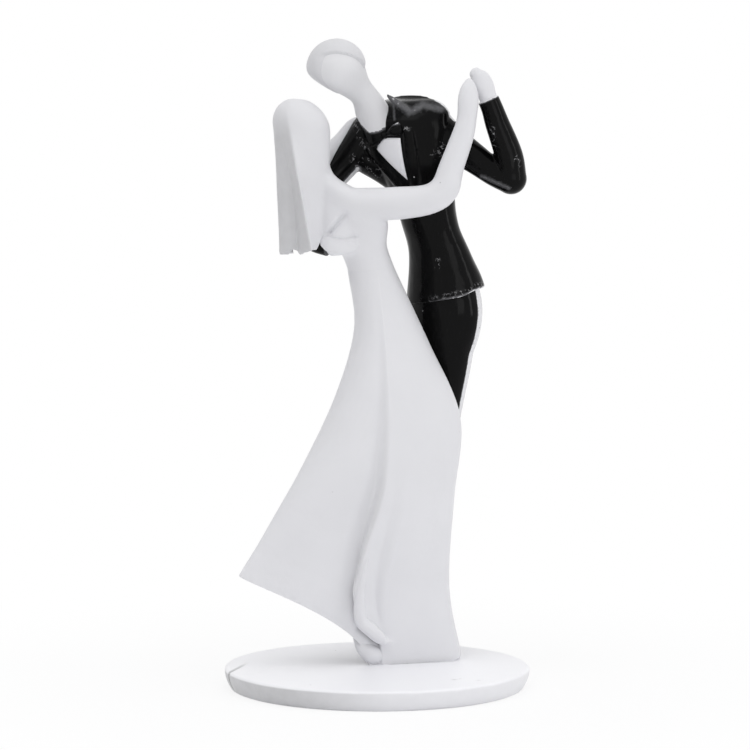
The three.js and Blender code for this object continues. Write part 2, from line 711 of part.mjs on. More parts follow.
// The collar is a band round the foot of the neck, low in front and standing up behind the left shoulder.
const collarAt = vec(-1.2, 7.8, 113.5);
const collarAim = vec(0.55, 0.6, -0.55).normalize();
const collarFoot = pastPlane(vec(0, 0, 104), vec(0, 0, 1));
const collar = (grow) =>
  cut(
    groomHeadShape(GLUE_GAP + COLLAR_THICKNESS + grow).intersect(collarFoot),
    groomHeadShape(GLUE_GAP - grow),
    pastPlane(collarAt.clone().addScaledVector(collarAim, -grow), collarAim.clone().negate()),
  );

// Lapels lie on the jacket along both edges of the shirt front; rows are [across, height, half-width].
const lapelPaths = {
  left: [
    [1.2, 98.8, 0.35],
    [2.6, 103, 0.5],
    [4.0, 107, 0.55],
    [4.7, 110.2, 0.45],
  ],
  right: [
    [0.2, 98.8, 0.35],
    [-1.9, 103, 0.5],
    [-3.9, 107, 0.55],
    [-4.9, 110.2, 0.45],
  ],
};
const lapel = (side, grow) =>
  limb(
    lapelPaths[side].map(([across, height, half]) => {
      const spot = onJacket(across, height, LAPEL_RISE / 2);
      return [spot.x, spot.y, spot.z, LAPEL_WIDTH * half, LAPEL_RISE];
    }),
    groomAcross,
    { grow, sides: 8, steps: 2 },
  );

// Sleeves and hands of the groom. The left arm bends up to the joined hands; the right one goes round the
// bride under her veil, and its hand lies on the small of her back.
const leftElbow = [27.4, 2.8, 101.5];
const leftSleeve = (grow) =>
  join(
    limb(
      [
        [10.6, 6.0, 111.0, SLEEVE_RADIUS],
        [15.3, 4.9, 108.4, SLEEVE_RADIUS * 0.95],
        [20.2, 3.8, 104.9, SLEEVE_RADIUS * 0.82],
        [24.2, 3.2, 102.3, SLEEVE_RADIUS * 0.76],
        [...leftElbow, SLEEVE_RADIUS * 0.84],
      ],
      vec(0, 1, 0),
      { grow, sides: 10, steps: 2 },
    ),
    limb(
      [
        [...leftElbow, SLEEVE_RADIUS * 0.84],
        [26.4, 2.2, 106.4, SLEEVE_RADIUS * 0.84],
        [24.8, 1.4, 111.6, CUFF_RADIUS * 1.07],
        [23.9, 1.0, 114.4, CUFF_RADIUS],
      ],
      vec(0, 1, 0),
      { grow, sides: 10, steps: 2, flat: [false, true] },
    ),
  );
const leftHand = (grow) =>
  limb(
    [
      [24.3, 1.1, 112.6, WRIST_RADIUS],
      [23.7, 1.0, 114.8, WRIST_RADIUS * 1.15],
      [22.9, 0.7, 117.4, 2.4, 1.6],
      [21.9, 0.4, 120.2, 2.1, 1.3],
      [20.3, 0.2, 122.6, 1.0, 0.8],
    ],
    vec(0.9, 0.3, 0.3),
    { grow, sides: 9, steps: 2 },
  );
const rightElbow = [-14.6, 11.0, 95.6];
const rightSleeve = (grow) =>
  join(
    limb(
      [
        [0.4, 13.4, 110.4, SLEEVE_RADIUS],
        [-3.2, 13.8, 106.3, SLEEVE_RADIUS],
        [-8.8, 13.0, 100.6, SLEEVE_RADIUS * 0.95],
        [...rightElbow, SLEEVE_RADIUS * 0.9],
      ],
      vec(0, 1, 0),
      { grow, sides: 10, steps: 2 },
    ),
    limb(
      [
        [...rightElbow, SLEEVE_RADIUS * 0.9],
        [-15.0, 5.2, 90.4, SLEEVE_RADIUS * 0.8],
        [-13.4, 0.6, 87.4, CUFF_RADIUS * 1.08],
        [-11.6, -1.6, 86.2, CUFF_RADIUS],
      ],
      vec(0.9, 0, 0.3),
      { grow, sides: 10, steps: 2, flat: [false, true] },
    ),
  );
const rightHand = (grow) =>
  limb(
    [
      [-12.4, -0.7, 86.6, WRIST_RADIUS],
      [-10.8, -2.0, 86.1, WRIST_RADIUS],
      [-8.4, -2.9, 86.1, 1.9, 1.1],
      [-6.0, -3.1, 86.8, 1.6, 0.9],
      [-4.2, -3.0, 87.4, 0.8, 0.6],
    ],
    vec(0, 0, 1),
    { grow, sides: 9, steps: 2 },
  );
const leftSleevePeg = (grow) => pin(vec(15.0, 4.9, 109.2), vec(9.6, 7.2, 109.2), PEG_DIAMETER / 2, grow);
const rightSleevePeg = (grow) => pin(vec(-3.6, 13.8, 107.0), vec(2.6, 12.0, 107.6), PEG_DIAMETER / 2, grow);

// The groom, cut so that each piece sits a glue gap away from the next.
for (const side of ["left", "right"]) {
  const foot = side === "left" ? groomLeftFoot : groomRightFoot;
  couple.add(piece(`groom_${side}_shoe`, cut(groomShoe(side, 0), dowelAt(foot, GLUE_GAP)), black));
}
couple.add(
  piece(
    "groom_trousers",
    join(
      cut(
        trousers(0),
        groomShoe("left", GLUE_GAP),
        groomShoe("right", GLUE_GAP),
        dowelAt(groomLeftFoot, GLUE_GAP),
        dowelAt(groomRightFoot, GLUE_GAP),
        pastPlane(vec(0, 0, groomHips[0][2]), vec(0, 0, 1)),
      ),
      hipPeg(0),
    ),
    black,
  ),
);
const jacketBody = cut(jacketShape(0), pastPlane(vec(0, 0, groomHips[0][2] + GLUE_GAP), vec(0, 0, -1)));
couple.add(
  piece(
    "groom_jacket",
    cut(
      jacketBody,
      hipPeg(GLUE_GAP),
      groomHeadShape(GLUE_GAP),
      shirtWedge(GLUE_GAP),
      bowTie(GLUE_GAP),
      leftSleevePeg(GLUE_GAP),
      rightSleevePeg(GLUE_GAP),
    ),
    black,
  ),
);
couple.add(
  piece(
    "groom_shirt_front",
    cut(shirtWedge(0).intersect(jacketShape(0)), groomHeadShape(GLUE_GAP), bowTie(GLUE_GAP)),
    white,
  ),
);
couple.add(piece("groom_bow_tie", cut(bowTie(0), groomHeadShape(GLUE_GAP)), black));
couple.add(
  piece(
    "groom_collar",
    cut(collar(0), jacketShape(GLUE_GAP), shirtWedge(GLUE_GAP), bowTie(GLUE_GAP), rightSleeve(GLUE_GAP)),
    black,
  ),
);
for (const side of ["left", "right"]) {
  couple.add(
    piece(
      `groom_${side}_lapel`,
      cut(
        lapel(side, 0),
        jacketShape(GLUE_GAP),
        shirtWedge(GLUE_GAP),
        collar(GLUE_GAP),
        bowTie(GLUE_GAP),
        ...(side === "right" ? [lapel("left", GLUE_GAP)] : []),
      ),
      black,
    ),
  );
}
couple.add(piece("groom_head", cut(groomHeadShape(0), groomHair(GLUE_GAP)), white));
couple.add(piece("groom_hair", groomHair(0), white));
couple.add(
  piece(
    "groom_left_sleeve",
    cut(
      join(cut(leftSleeve(0), jacketShape(GLUE_GAP)), leftSleevePeg(0)),
      leftHand(GLUE_GAP),
      lapel("left", GLUE_GAP),
    ),
    black,
  ),
);
couple.add(piece("groom_left_hand", leftHand(0), white));
couple.add(
  piece(
    "groom_right_sleeve",
    cut(
      join(cut(rightSleeve(0), jacketShape(GLUE_GAP)), rightSleevePeg(0)),
      rightHand(GLUE_GAP),
      brideBody(GLUE_GAP),
      groomHeadShape(GLUE_GAP),
    ),
    black,
  ),
);
couple.add(piece("groom_right_hand", cut(rightHand(0), brideBody(GLUE_GAP)), white));

// The bride, cut in the same way.
couple.add(
  piece("bride_skirt", join(cut(skirtBody, brideLeg(GLUE_GAP), brideShoe(GLUE_GAP)), waistPeg(0)), white),
);
couple.add(
  piece(
    "bride_bodice",
    cut(
      join(cut(brideBody(0), upperRegion(-GLUE_GAP), aboveWaist), cut(bodicePeg(0))),
      waistPeg(GLUE_GAP),
      brideRightArm(GLUE_GAP),
      brideLeftArm(GLUE_GAP),
      rightHand(GLUE_GAP),
    ),
    white,
  ),
);
couple.add(
  piece(
    "bride_torso",
    cut(
      join(cut(brideBody(0).intersect(upperRegion(0)), brideHeadShape(GLUE_GAP)), brideNeckPeg(0)),
      bodicePeg(GLUE_GAP),
      brideRightArm(GLUE_GAP),
      brideLeftArm(GLUE_GAP),
      brideRightPeg(GLUE_GAP),
      brideLeftPeg(GLUE_GAP),
    ),
    white,
  ),
);
couple.add(piece("bride_head", cut(brideHeadShape(0), brideHair(GLUE_GAP), brideNeckPeg(GLUE_GAP)), white));
couple.add(piece("bride_hair", brideHair(0), white));
couple.add(
  piece(
    "bride_veil",
    cut(
      skin(veilRings, midOf(veilRings[0]), midOf(veilRings.at(-1))),
      brideHeadShape(HAIR_RISE + GLUE_GAP),
      brideBody(GLUE_GAP),
      brideRightArm(GLUE_GAP),
      brideLeftArm(GLUE_GAP),
      rightSleeve(GLUE_GAP),
      rightHand(GLUE_GAP),
    ),
    white,
  ),
);
couple.add(piece("bride_right_arm", join(brideRightArm(0), brideRightPeg(0)), white));
couple.add(
  piece(
    "bride_left_arm",
    cut(
      join(brideLeftArm(0), brideLeftPeg(0)),
      rightSleeve(GLUE_GAP),
      jacketShape(GLUE_GAP),
      collar(GLUE_GAP),
      groomHeadShape(GLUE_GAP),
    ),
    white,
  ),
);

const topper = new THREE.Group();
topper.name = "wedding_cake_topper";
topper.add(couple);
export default topper;
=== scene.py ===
"""Wedding cake topper: a faceless bride and groom dancing on a round base, cast white and painted by hand."""

import math

import bpy
import numpy as np
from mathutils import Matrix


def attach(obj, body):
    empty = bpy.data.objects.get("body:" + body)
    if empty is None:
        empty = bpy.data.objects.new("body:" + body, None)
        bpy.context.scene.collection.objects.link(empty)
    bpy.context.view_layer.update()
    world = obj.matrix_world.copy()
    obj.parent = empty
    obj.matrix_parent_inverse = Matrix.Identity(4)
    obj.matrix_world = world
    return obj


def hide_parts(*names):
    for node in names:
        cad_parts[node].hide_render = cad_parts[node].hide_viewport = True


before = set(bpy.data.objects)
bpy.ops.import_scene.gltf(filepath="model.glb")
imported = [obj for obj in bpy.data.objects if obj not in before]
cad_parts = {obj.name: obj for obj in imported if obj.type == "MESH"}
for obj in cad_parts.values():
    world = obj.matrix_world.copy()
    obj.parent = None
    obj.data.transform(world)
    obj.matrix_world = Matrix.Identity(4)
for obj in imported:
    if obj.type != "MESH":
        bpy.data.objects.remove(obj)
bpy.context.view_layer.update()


# The photograph is taken with a long lens from a little above the middle of the figures, so that the top
# of the base shows as a thin oval. The camera looks along +Y. Lengths are in metres here and in the studio.
CAMERA_TARGET = (-0.0004, 0.0, 0.06449)
CAMERA_DISTANCE = 0.700
CAMERA_RISE = math.radians(4.61)
scene = bpy.context.scene
camera_data = bpy.data.cameras.new("camera")
camera_data.sensor_width = 36.0
camera_data.lens = 163.63
camera_data.clip_start = 0.01
camera = bpy.data.objects.new("camera", camera_data)
camera.location = (
    CAMERA_TARGET[0],
    CAMERA_TARGET[1] - CAMERA_DISTANCE * math.cos(CAMERA_RISE),
    CAMERA_TARGET[2] + CAMERA_DISTANCE * math.sin(CAMERA_RISE),
)
camera.rotation_euler = (math.pi / 2 - CAMERA_RISE, 0.0, 0.0)
scene.collection.objects.link(camera)
scene.camera = camera
scene.view_settings.view_transform = "Standard"


# The studio is a white sweep with soft light that is weaker at the left and stronger overhead. Its boxes are
# a broad one at the right of the camera, a strip at the right, one overhead and one high at the left.
LEFT_STRENGTH = 0.02
RIGHT_STRENGTH = 0.26
OVERHEAD_STRENGTH = 1.10
FLOOR_SIZE = 3.0
FLOOR_CARD = (0.93, 0.93, 0.94, 1.0)
SHADOW_REACH = (0.04, 0.14)
SHADOW_GLOW = (0.82, 1.0)


def set_inputs(tree, node, values):
    """Sets a node's inputs to numbers or colours, or joins them to other nodes' outputs."""
    for name, value in values.items():
        if isinstance(value, bpy.types.NodeSocket):
            tree.links.new(value, node.inputs[name])
        else:
            node.inputs[name].default_value = value


def shader_node(tree, kind, values=None, **settings):
    """The outputs of a new shader node with its settings and inputs."""
    made = tree.nodes.new(kind)
    for name, value in settings.items():
        setattr(made, name, value)
    set_inputs(tree, made, values or {})
    return made.outputs


def reckon(tree, operation, *values):
    """The result of one operation on numbers or outputs."""
    return shader_node(tree, "ShaderNodeMath", dict(enumerate(values)), operation=operation)[0]


def carried(tree, value, low, high, start, end, curve="LINEAR"):
    """A value between low and high, carried over to the range from start to end and held at its ends."""
    values = dict(enumerate((value, low, high, start, end)))
    return shader_node(tree, "ShaderNodeMapRange", values, interpolation_type=curve)[0]


def new_material(name):
    """A material, its node tree, its main shader and the places on the object."""
    material = bpy.data.materials.new(name)
    material.use_nodes = True
    tree = material.node_tree
    return material, tree, tree.nodes["Principled BSDF"], shader_node(tree, "ShaderNodeTexCoord")["Object"]


def seen_share(tree):
    """1 for rays from the camera, from gloss and through glass, which see the white sweep, or else 0."""
    path = shader_node(tree, "ShaderNodeLightPath")
    direct = reckon(tree, "MAXIMUM", path["Is Camera Ray"], path["Is Glossy Ray"])
    return reckon(tree, "MAXIMUM", direct, path["Is Transmission Ray"])


def soft_box(name, place, aim, size, power):
    """An area lamp at a place, turned to face a point."""
    lamp = bpy.data.lights.new(name, "AREA")
    lamp.shape = "RECTANGLE"
    lamp.size, lamp.size_y = size
    lamp.energy = power
    holder = bpy.data.objects.new(name, lamp)
    away = np.array(aim) - np.array(place)
    flat = math.hypot(away[0], away[1])
    holder.location = place
    holder.rotation_euler = (math.pi / 2 + math.atan2(away[2], flat), 0.0, math.atan2(-away[0], away[1]))
    scene.collection.objects.link(holder)


world = bpy.data.worlds.new("studio")
world.use_nodes = True
sky = world.node_tree
sky_way = shader_node(sky, "ShaderNodeSeparateXYZ", {0: shader_node(sky, "ShaderNodeTexCoord")["Generated"]})
from_side = carried(sky, sky_way["X"], -1.0, 1.0, LEFT_STRENGTH, RIGHT_STRENGTH)
from_above = carried(sky, sky_way["Z"], 0.0, 1.0, 0.0, OVERHEAD_STRENGTH)
soft_light = reckon(sky, "ADD", from_side, from_above)
sky_strength = carried(sky, seen_share(sky), 0.0, 1.0, soft_light, 1.0)
set_inputs(sky, sky.nodes["Background"], {"Color": (1.0, 1.0, 1.0, 1.0), "Strength": sky_strength})
scene.world = world
soft_box("key_box", (0.30, -0.75, 0.12), aim=(0.0, 0.0, 0.07), size=(0.36, 0.36), power=0.55)
soft_box("right_strip", (0.55, -0.22, 0.16), aim=(0.0, 0.0, 0.07), size=(0.09, 0.40), power=0.36)
soft_box("top_box", (-0.03, -0.12, 0.62), aim=(0.0, 0.02, 0.08), size=(0.40, 0.14), power=0.20)
soft_box("left_box", (-0.30, -0.30, 0.45), aim=(0.0, 0.0, 0.02), size=(0.30, 0.30), power=0.27)

half = FLOOR_SIZE / 2
floor_mesh = bpy.data.meshes.new("floor")
floor_mesh.from_pydata(
    [(-half, -half, 0.0), (half, -half, 0.0), (half, half, 0.0), (-half, half, 0.0)], [], [(0, 1, 2, 3)]
)
floor = bpy.data.objects.new("floor", floor_mesh)
scene.collection.objects.link(floor)
sweep, sweep_tree, _, sweep_place = new_material("white_sweep")
card = shader_node(sweep_tree, "ShaderNodeBsdfDiffuse", {"Color": FLOOR_CARD})[0]
glow = shader_node(sweep_tree, "ShaderNodeEmission", {"Strength": 1.0})[0]
outward = shader_node(sweep_tree, "ShaderNodeVectorMath", {0: sweep_place}, operation="LENGTH")["Value"]
fade = carried(sweep_tree, outward, *SHADOW_REACH, *SHADOW_GLOW, curve="SMOOTHSTEP")
glow_share = reckon(sweep_tree, "MULTIPLY", seen_share(sweep_tree), fade)
sweep_mix = shader_node(sweep_tree, "ShaderNodeMixShader", {0: glow_share, 1: card, 2: glow})[0]
set_inputs(sweep_tree, sweep_tree.nodes["Material Output"], {"Surface": sweep_mix})
floor_mesh.materials.append(sweep)


# The base is a cast resin disc that narrows towards its underside, with a soft upper edge. A flaw of the
# mould runs across its left end, and the rim is not quite even. Lengths are in millimetres from here on.
MM = 0.001
BASE_RADIUS = 31.5
BASE_HEIGHT = 4.2
BASE_DRAFT = 1.3
BASE_EDGE = 0.6
ON_BASE = np.array((0.0, 0.0, BASE_HEIGHT))
POLE_RADIUS = 0.02
SHARP_ANGLE = math.radians(48.0)
FLAW_FROM = np.array((-30.4, -8.6))
FLAW_TO = np.array((-26.4, 5.4))
FLAW_TURN = math.radians(196.0)
FLAW_WIDTH = 0.24
SIDE_GROOVE = 0.34
TOP_GROOVE = 0.30
FLAW_STEP = 0.16
RIM_NICKS = [(262, 0.9, 0.10), (284, 0.5, 0.18), (301, 0.7, 0.24), (306, 0.4, 0.20), (318, 1.1, 0.16)]
# Where the skirt's hem stands on the base top: a painted contact shadow is laid along it.
HEM_ON_BASE = [(3.0, 1.7), (15.8, 5.2)]
BASE_SPECKS = [(15.6, -17.0, 0.5), (16.7, -16.1, 0.3), (20.4, -17.9, 0.35), (6.2, 2.6, 0.35)]


def bell(x):
    """A bump of height 1 that dies away on both sides: e to the minus x squared."""
    return np.exp(-np.square(x))


def smooth(low, high, x):
    """0 below low, 1 above high, and an S-curve between them."""
    share = np.clip((x - low) / (high - low), 0.0, 1.0)
    return share * share * (3.0 - 2.0 * share)


def mix(a, b, share):
    """The value that lies that share of the way from a to b."""
    return a + (b - a) * share


def bent(start, pull, end, share):
    """A curve from start to end drawn towards pull: the three weighted by the square of what is left of the
    share, twice the product of that and the share, and the share squared."""
    return (1 - share) ** 2 * start + 2 * share * (1 - share) * pull + share ** 2 * end


def closed_skin(rings):
    """Rings of points (rows, columns, 3) joined into a tube, with a fan to the ring's middle at each end."""
    rows, columns = rings.shape[:2]
    here = np.arange(rows * columns).reshape(rows, columns)
    beside = np.roll(here, -1, axis=1)
    quads = np.stack([here[:-1], beside[:-1], beside[1:], here[1:]], axis=-1).reshape(-1, 4)
    points = np.vstack([rings.reshape(-1, 3), rings[0].mean(axis=0), rings[-1].mean(axis=0)])
    first = np.stack([np.full(columns, rows * columns), beside[0], here[0]], axis=-1)
    last = np.stack([np.full(columns, rows * columns + 1), here[-1], beside[-1]], axis=-1)
    middle = points.mean(axis=0)
    a, b, c, d = (points[quads[:, k]] - middle for k in range(4))
    volume = np.sum(np.cross(a, b) * c) + np.sum(np.cross(a, c) * d)
    turn = 1 if volume > 0 else -1
    faces = quads[:, ::turn].tolist() + first[:, ::turn].tolist() + last[:, ::turn].tolist()
    return points, faces


def put_piece(name, *ring_sets):
    """One object at the origin, with its place in its mesh: a closed skin over each set of rings."""
    points = []
    faces = []
    count = 0
    for skin_points, skin_faces in map(closed_skin, ring_sets):
        points.append(skin_points)
        faces += [[corner + count for corner in face] for face in skin_faces]
        count += len(skin_points)
    mesh = bpy.data.meshes.new(name)
    mesh.from_pydata((np.vstack(points) * MM).tolist(), [], faces)
    mesh.shade_smooth()
    mesh.set_sharp_from_angle(angle=SHARP_ANGLE)
    made = bpy.data.objects.new(name, mesh)
    scene.collection.objects.link(made)
    return made


def base_surface(rows, columns):
    """A profile turned about the upright axis. Sines of the turn make the rim uneven, and a groove follows
    the flaw: its depth is a bell of the distance to the flaw's line on top, and to its turn on the side."""
    under = np.stack([np.linspace(POLE_RADIUS, BASE_RADIUS - BASE_DRAFT - 0.4, 5), np.zeros(5)], axis=-1)
    foot = np.array((BASE_RADIUS - BASE_DRAFT, 0.15))
    belly = np.array((BASE_RADIUS, BASE_HEIGHT / 2))
    brow = np.array((BASE_RADIUS, BASE_HEIGHT - BASE_EDGE))
    side = bent(foot, belly, brow, np.linspace(0.0, 1.0, rows // 4)[:, None])
    round_turn = np.linspace(0.0, math.pi / 2, 12)[1:, None]
    edge = brow + BASE_EDGE * np.concatenate([np.cos(round_turn) - 1.0, np.sin(round_turn)], axis=-1)
    inward = np.linspace(0.0, 1.0, rows)[1:] ** 1.8
    top_radius = mix(BASE_RADIUS - BASE_EDGE, POLE_RADIUS, inward)
    top = np.stack([top_radius, np.full_like(top_radius, BASE_HEIGHT)], axis=-1)
    profile = np.vstack([under, side, edge, top])
    turn = np.arange(columns) / columns - 0.5
    angle = 2 * np.pi * (turn - 0.7 * np.sin(2 * np.pi * turn) / (2 * np.pi)) + FLAW_TURN
    radius = profile[:, :1]
    height = profile[:, 1:]
    rim = smooth(26.0, 31.0, radius)
    uneven = 0.05 * np.sin(5 * angle + 0.6) + 0.04 * np.sin(11 * angle + 2.1) + 0.03 * np.sin(23 * angle)
    upright = smooth(0.0, 0.8, height) * smooth(0.0, 0.8, BASE_HEIGHT + 0.3 - height)
    groove = SIDE_GROOVE * bell((angle - FLAW_TURN) * BASE_RADIUS / FLAW_WIDTH)
    reach = radius + uneven * rim * upright - groove * rim * smooth(0.6, 1.6, height)
    x = reach * np.cos(angle)
    y = reach * np.sin(angle)
    along = FLAW_TO - FLAW_FROM
    share = ((x - FLAW_FROM[0]) * along[0] + (y - FLAW_FROM[1]) * along[1]) / (along @ along)
    away = (x - FLAW_FROM[0]) * along[1] - (y - FLAW_FROM[1]) * along[0]
    away = away / np.linalg.norm(along)
    on_top = smooth(BASE_HEIGHT - 0.5, BASE_HEIGHT, height)
    dip = TOP_GROOVE * bell(away / FLAW_WIDTH) * smooth(-0.04, 0.02, share) * smooth(1.0, 0.55, share)
    step = FLAW_STEP * smooth(0.1, -0.9, -away) * smooth(-0.1, 0.1, share) * smooth(1.0, 0.6, share)
    lumps = 0.008 * np.sin(0.5 * x + 1.0) * np.sin(0.43 * y)
    nicks = sum(deep * bell((angle - math.radians(at)) * BASE_RADIUS / wide) for at, wide, deep in RIM_NICKS)
    on_brow = smooth(BASE_RADIUS - 1.4, BASE_RADIUS - 0.5, radius)
    on_brow = on_brow * smooth(BASE_HEIGHT - 1.2, BASE_HEIGHT, height)
    z = height + (lumps - dip - step * (away < 6)) * on_top - nicks * on_brow
    return np.stack([x, y, np.broadcast_to(z, x.shape)], axis=-1)


def blend(tree, share, first, second):
    """The colour that lies that share of the way from the first to the second."""
    return shader_node(tree, "ShaderNodeMix", {0: share, 6: first, 7: second}, data_type="RGBA")[2]


def noise(tree, place, scale, detail=2.0, roughness=0.5):
    """Cloudy noise with that many waves to a metre."""
    values = {"Vector": place, "Scale": scale, "Detail": detail, "Roughness": roughness}
    return shader_node(tree, "ShaderNodeTexNoise", values)["Fac"]


def bumps(tree, height, strength, depth, under=None, **settings):
    """The direction of a surface with bumps of a depth in metres, laid over other bumps."""
    values = {"Strength": strength, "Distance": depth, "Height": height}
    if under is not None:
        values["Normal"] = under
    return shader_node(tree, "ShaderNodeBump", values, **settings)[0]


def scattered(tree, place, scale, size, rarity, most):
    """Dots in the middle of some cells of a Voronoi pattern. A dot fades over the range of distances in size,
    and a cell has one where its random tone lies beyond the range in rarity."""
    cells = shader_node(tree, "ShaderNodeTexVoronoi", {"Vector": place, "Scale": scale})
    dot = carried(tree, cells["Distance"], *size, 1.0, 0.0)
    chance = shader_node(tree, "ShaderNodeSeparateColor", {0: cells["Color"]})[0]
    return reckon(tree, "MULTIPLY", dot, carried(tree, chance, *rarity, 0.0, most))


def kept_layer(tree, name):
    """The number that a piece stores for each vertex under a name."""
    return shader_node(tree, "ShaderNodeAttribute", attribute_name=name)["Fac"]


def white_resin(name, light, dark, matt, shine, grain):
    """Cast resin under a satin white coat: a faint drift of tone, grey specks of dust in the coat, a fine
    orange peel and softer lumps. Tones are grey levels, matt is the range of roughness and grain the
    strength of the bumps. Where a piece has a grey attribute, patchy grey lies in it: real dirt on some
    pieces, and painted shade and painted shadow in folds, under overhangs and on sides turned from the light."""
    material, tree, shader, place = new_material(name)
    drift = noise(tree, place, 70.0, 3.0)
    tone = blend(tree, drift, (dark, dark, dark * 1.035, 1.0), (light, light, light * 1.03, 1.0))
    speck = scattered(tree, place, 230.0, (0.02, 0.05), (0.90, 0.96), 0.8)
    colour = blend(tree, speck, tone, (0.22, 0.21, 0.21, 1.0))
    patchy = carried(tree, noise(tree, place, 500.0, 4.0), 0.35, 0.65, 0.88, 1.0)
    # Patchy grey from that attribute: real dirt in places, painted shade and painted shadow in others.
    patchy_soil_and_shade = reckon(tree, "MULTIPLY", kept_layer(tree, "dirt_and_shade"), patchy)
    darkened_colour = blend(tree, patchy_soil_and_shade, colour, (0.20, 0.20, 0.19, 1.0))
    rough = carried(tree, noise(tree, place, 420.0, 3.0), 0.3, 0.7, *matt)
    lumps = bumps(tree, noise(tree, place, 210.0), 0.25 * grain, 0.0006)
    peel = bumps(tree, noise(tree, place, 900.0), 0.12 * grain, 0.0002, lumps)
    looks = {"Base Color": darkened_colour, "Roughness": rough, "Normal": peel, "Specular IOR Level": shine}
    set_inputs(tree, shader, looks)
    return material


RESIN = white_resin("satin_white_resin", light=0.825, dark=0.755, matt=(0.40, 0.56), shine=0.35, grain=1.0)
GLAZE = white_resin("glazed_white_base", light=0.94, dark=0.91, matt=(0.32, 0.42), shine=0.4, grain=0.05)


def keep_layer(piece, name, values):
    """Stores one number for each vertex of a piece under a name that its material reads."""
    layer = piece.data.attributes.new(name, "FLOAT", "POINT")
    layer.data.foreach_set("value", np.broadcast_to(values, len(piece.data.vertices)).astype(np.float32))


def recoat(piece, coat):
    """Gives a piece one material in place of those it has."""
    piece.data.materials.clear()
    piece.data.materials.append(coat)


def cast_white(piece, *nodes, coat=RESIN, dirt_and_shade=0.0):
    """Gives a piece its white coat, sets it on the one body and lets it stand for its CAD nodes."""
    recoat(piece, coat)
    keep_layer(piece, "dirt_and_shade", dirt_and_shade)
    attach(piece, "root")
    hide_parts(*nodes)


def points_of(piece):
    """A piece's vertices in millimetres, with heights above the base."""
    flat = np.empty(len(piece.data.vertices) * 3)
    piece.data.vertices.foreach_get("co", flat)
    return flat.reshape(-1, 3) / MM - ON_BASE


def from_segment(points, start, end):
    """How far points lie from a straight line between two places, and how far along it they are, 0 to 1."""
    start = np.array(start)
    along = np.array(end) - start
    share = np.clip((points - start) @ along / (along @ along), 0.0, 1.0)
    return np.linalg.norm(points - start - share[:, None] * along, axis=1), share


def from_path(points, *corners):
    """How far points lie from the nearest stretch of a line through corners."""
    return np.min([from_segment(points, *ends)[0] for ends in zip(corners, corners[1:])], axis=0)


base = put_piece("base", base_surface(110, 420))
base_points = points_of(base)
x, y, z = base_points.T
off_flaw, along_flaw = from_segment(base_points[:, :2], FLAW_FROM, FLAW_TO)
in_flaw = bell(off_flaw / 0.30) * smooth(1.0, 0.4, along_flaw) * smooth(-0.7, -0.2, z)
base_turn = np.mod(np.arctan2(y, x), 2 * math.pi)
on_side = smooth(29.5, 30.5, np.hypot(x, y)) * smooth(-0.2, -0.6, z)
down_side = bell((base_turn - FLAW_TURN) * BASE_RADIUS / 0.28) * on_side
# Painted shade: the whole side of the base is greyed, more towards the left, which is turned from the light.
# Some real grey dirt lies at the left end as well.
side_shade_and_dust = on_side * mix(0.13, 0.42, smooth(5.0, -20.0, x))
# Painted shadow: a dark line on the base top where the skirt's hem stands on it, in place of its contact
# shadow.
hem_contact_shadow = bell(from_path(base_points[:, :2], *HEM_ON_BASE) / 0.5) * smooth(-0.5, -0.1, z)
specks = np.zeros(len(base_points))
for speck_x, speck_y, width in BASE_SPECKS:
    off_speck = np.linalg.norm(base_points - np.array((speck_x, speck_y, 0.0)), axis=1)
    specks = np.maximum(specks, bell(off_speck / width))
# The base's grey share: darker along the flaw, the painted shade on the side and the painted hem shadow, with
# real dust specks.
base_dirt_and_shade = 0.7 * (in_flaw + down_side) + side_shade_and_dust + 0.4 * specks + 0.45 * hem_contact_shadow
cast_white(base, "base_plate", coat=GLAZE, dirt_and_shade=np.clip(base_dirt_and_shade, 0.0, 1.0))


# Steel dowels stand in the base and run up into the legs. They show nowhere once the figures are glued on,
# and their CAD solids keep their shape with a drawn-wire finish.
def stretched(tree, place, scale):
    """Places scaled along each axis."""
    return shader_node(tree, "ShaderNodeMapping", {"Vector": place, "Scale": scale})[0]


def drawn_steel(name):
    """Drawn steel wire: bright grey with fine lines along its length."""
    material, tree, shader, place = new_material(name)
    lines = noise(tree, stretched(tree, place, (6000.0, 6000.0, 200.0)), 1.0)
    tone = blend(tree, lines, (0.48, 0.49, 0.50, 1.0), (0.62, 0.63, 0.64, 1.0))
    rough = carried(tree, lines, 0.0, 1.0, 0.25, 0.45)
    set_inputs(tree, shader, {"Base Color": tone, "Roughness": rough, "Metallic": 1.0})
    return material


steel = drawn_steel("drawn_steel")
for owner in ("bride", "groom_left", "groom_right"):
    recoat(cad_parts[f"{owner}_dowel"], steel)


# Bride's shoe stands under the hem, a plain white slipper with a flat sole. Her leg is hidden in the hollow
# of the skirt, so its CAD solid only takes the coat.
BRIDE_SHOE = {"foot": (2.6, 8.2), "facing": (-0.5, -0.87), "width": 4.8, "height": 3.4}
SHOE_SHAPE = np.array([(-1.4, 0.34, 0.9), (0.6, 0.40, 1.0), (3.4, 0.50, 0.95), (5.0, 0.42, 0.72)])
SOLE_SHARE = 0.35


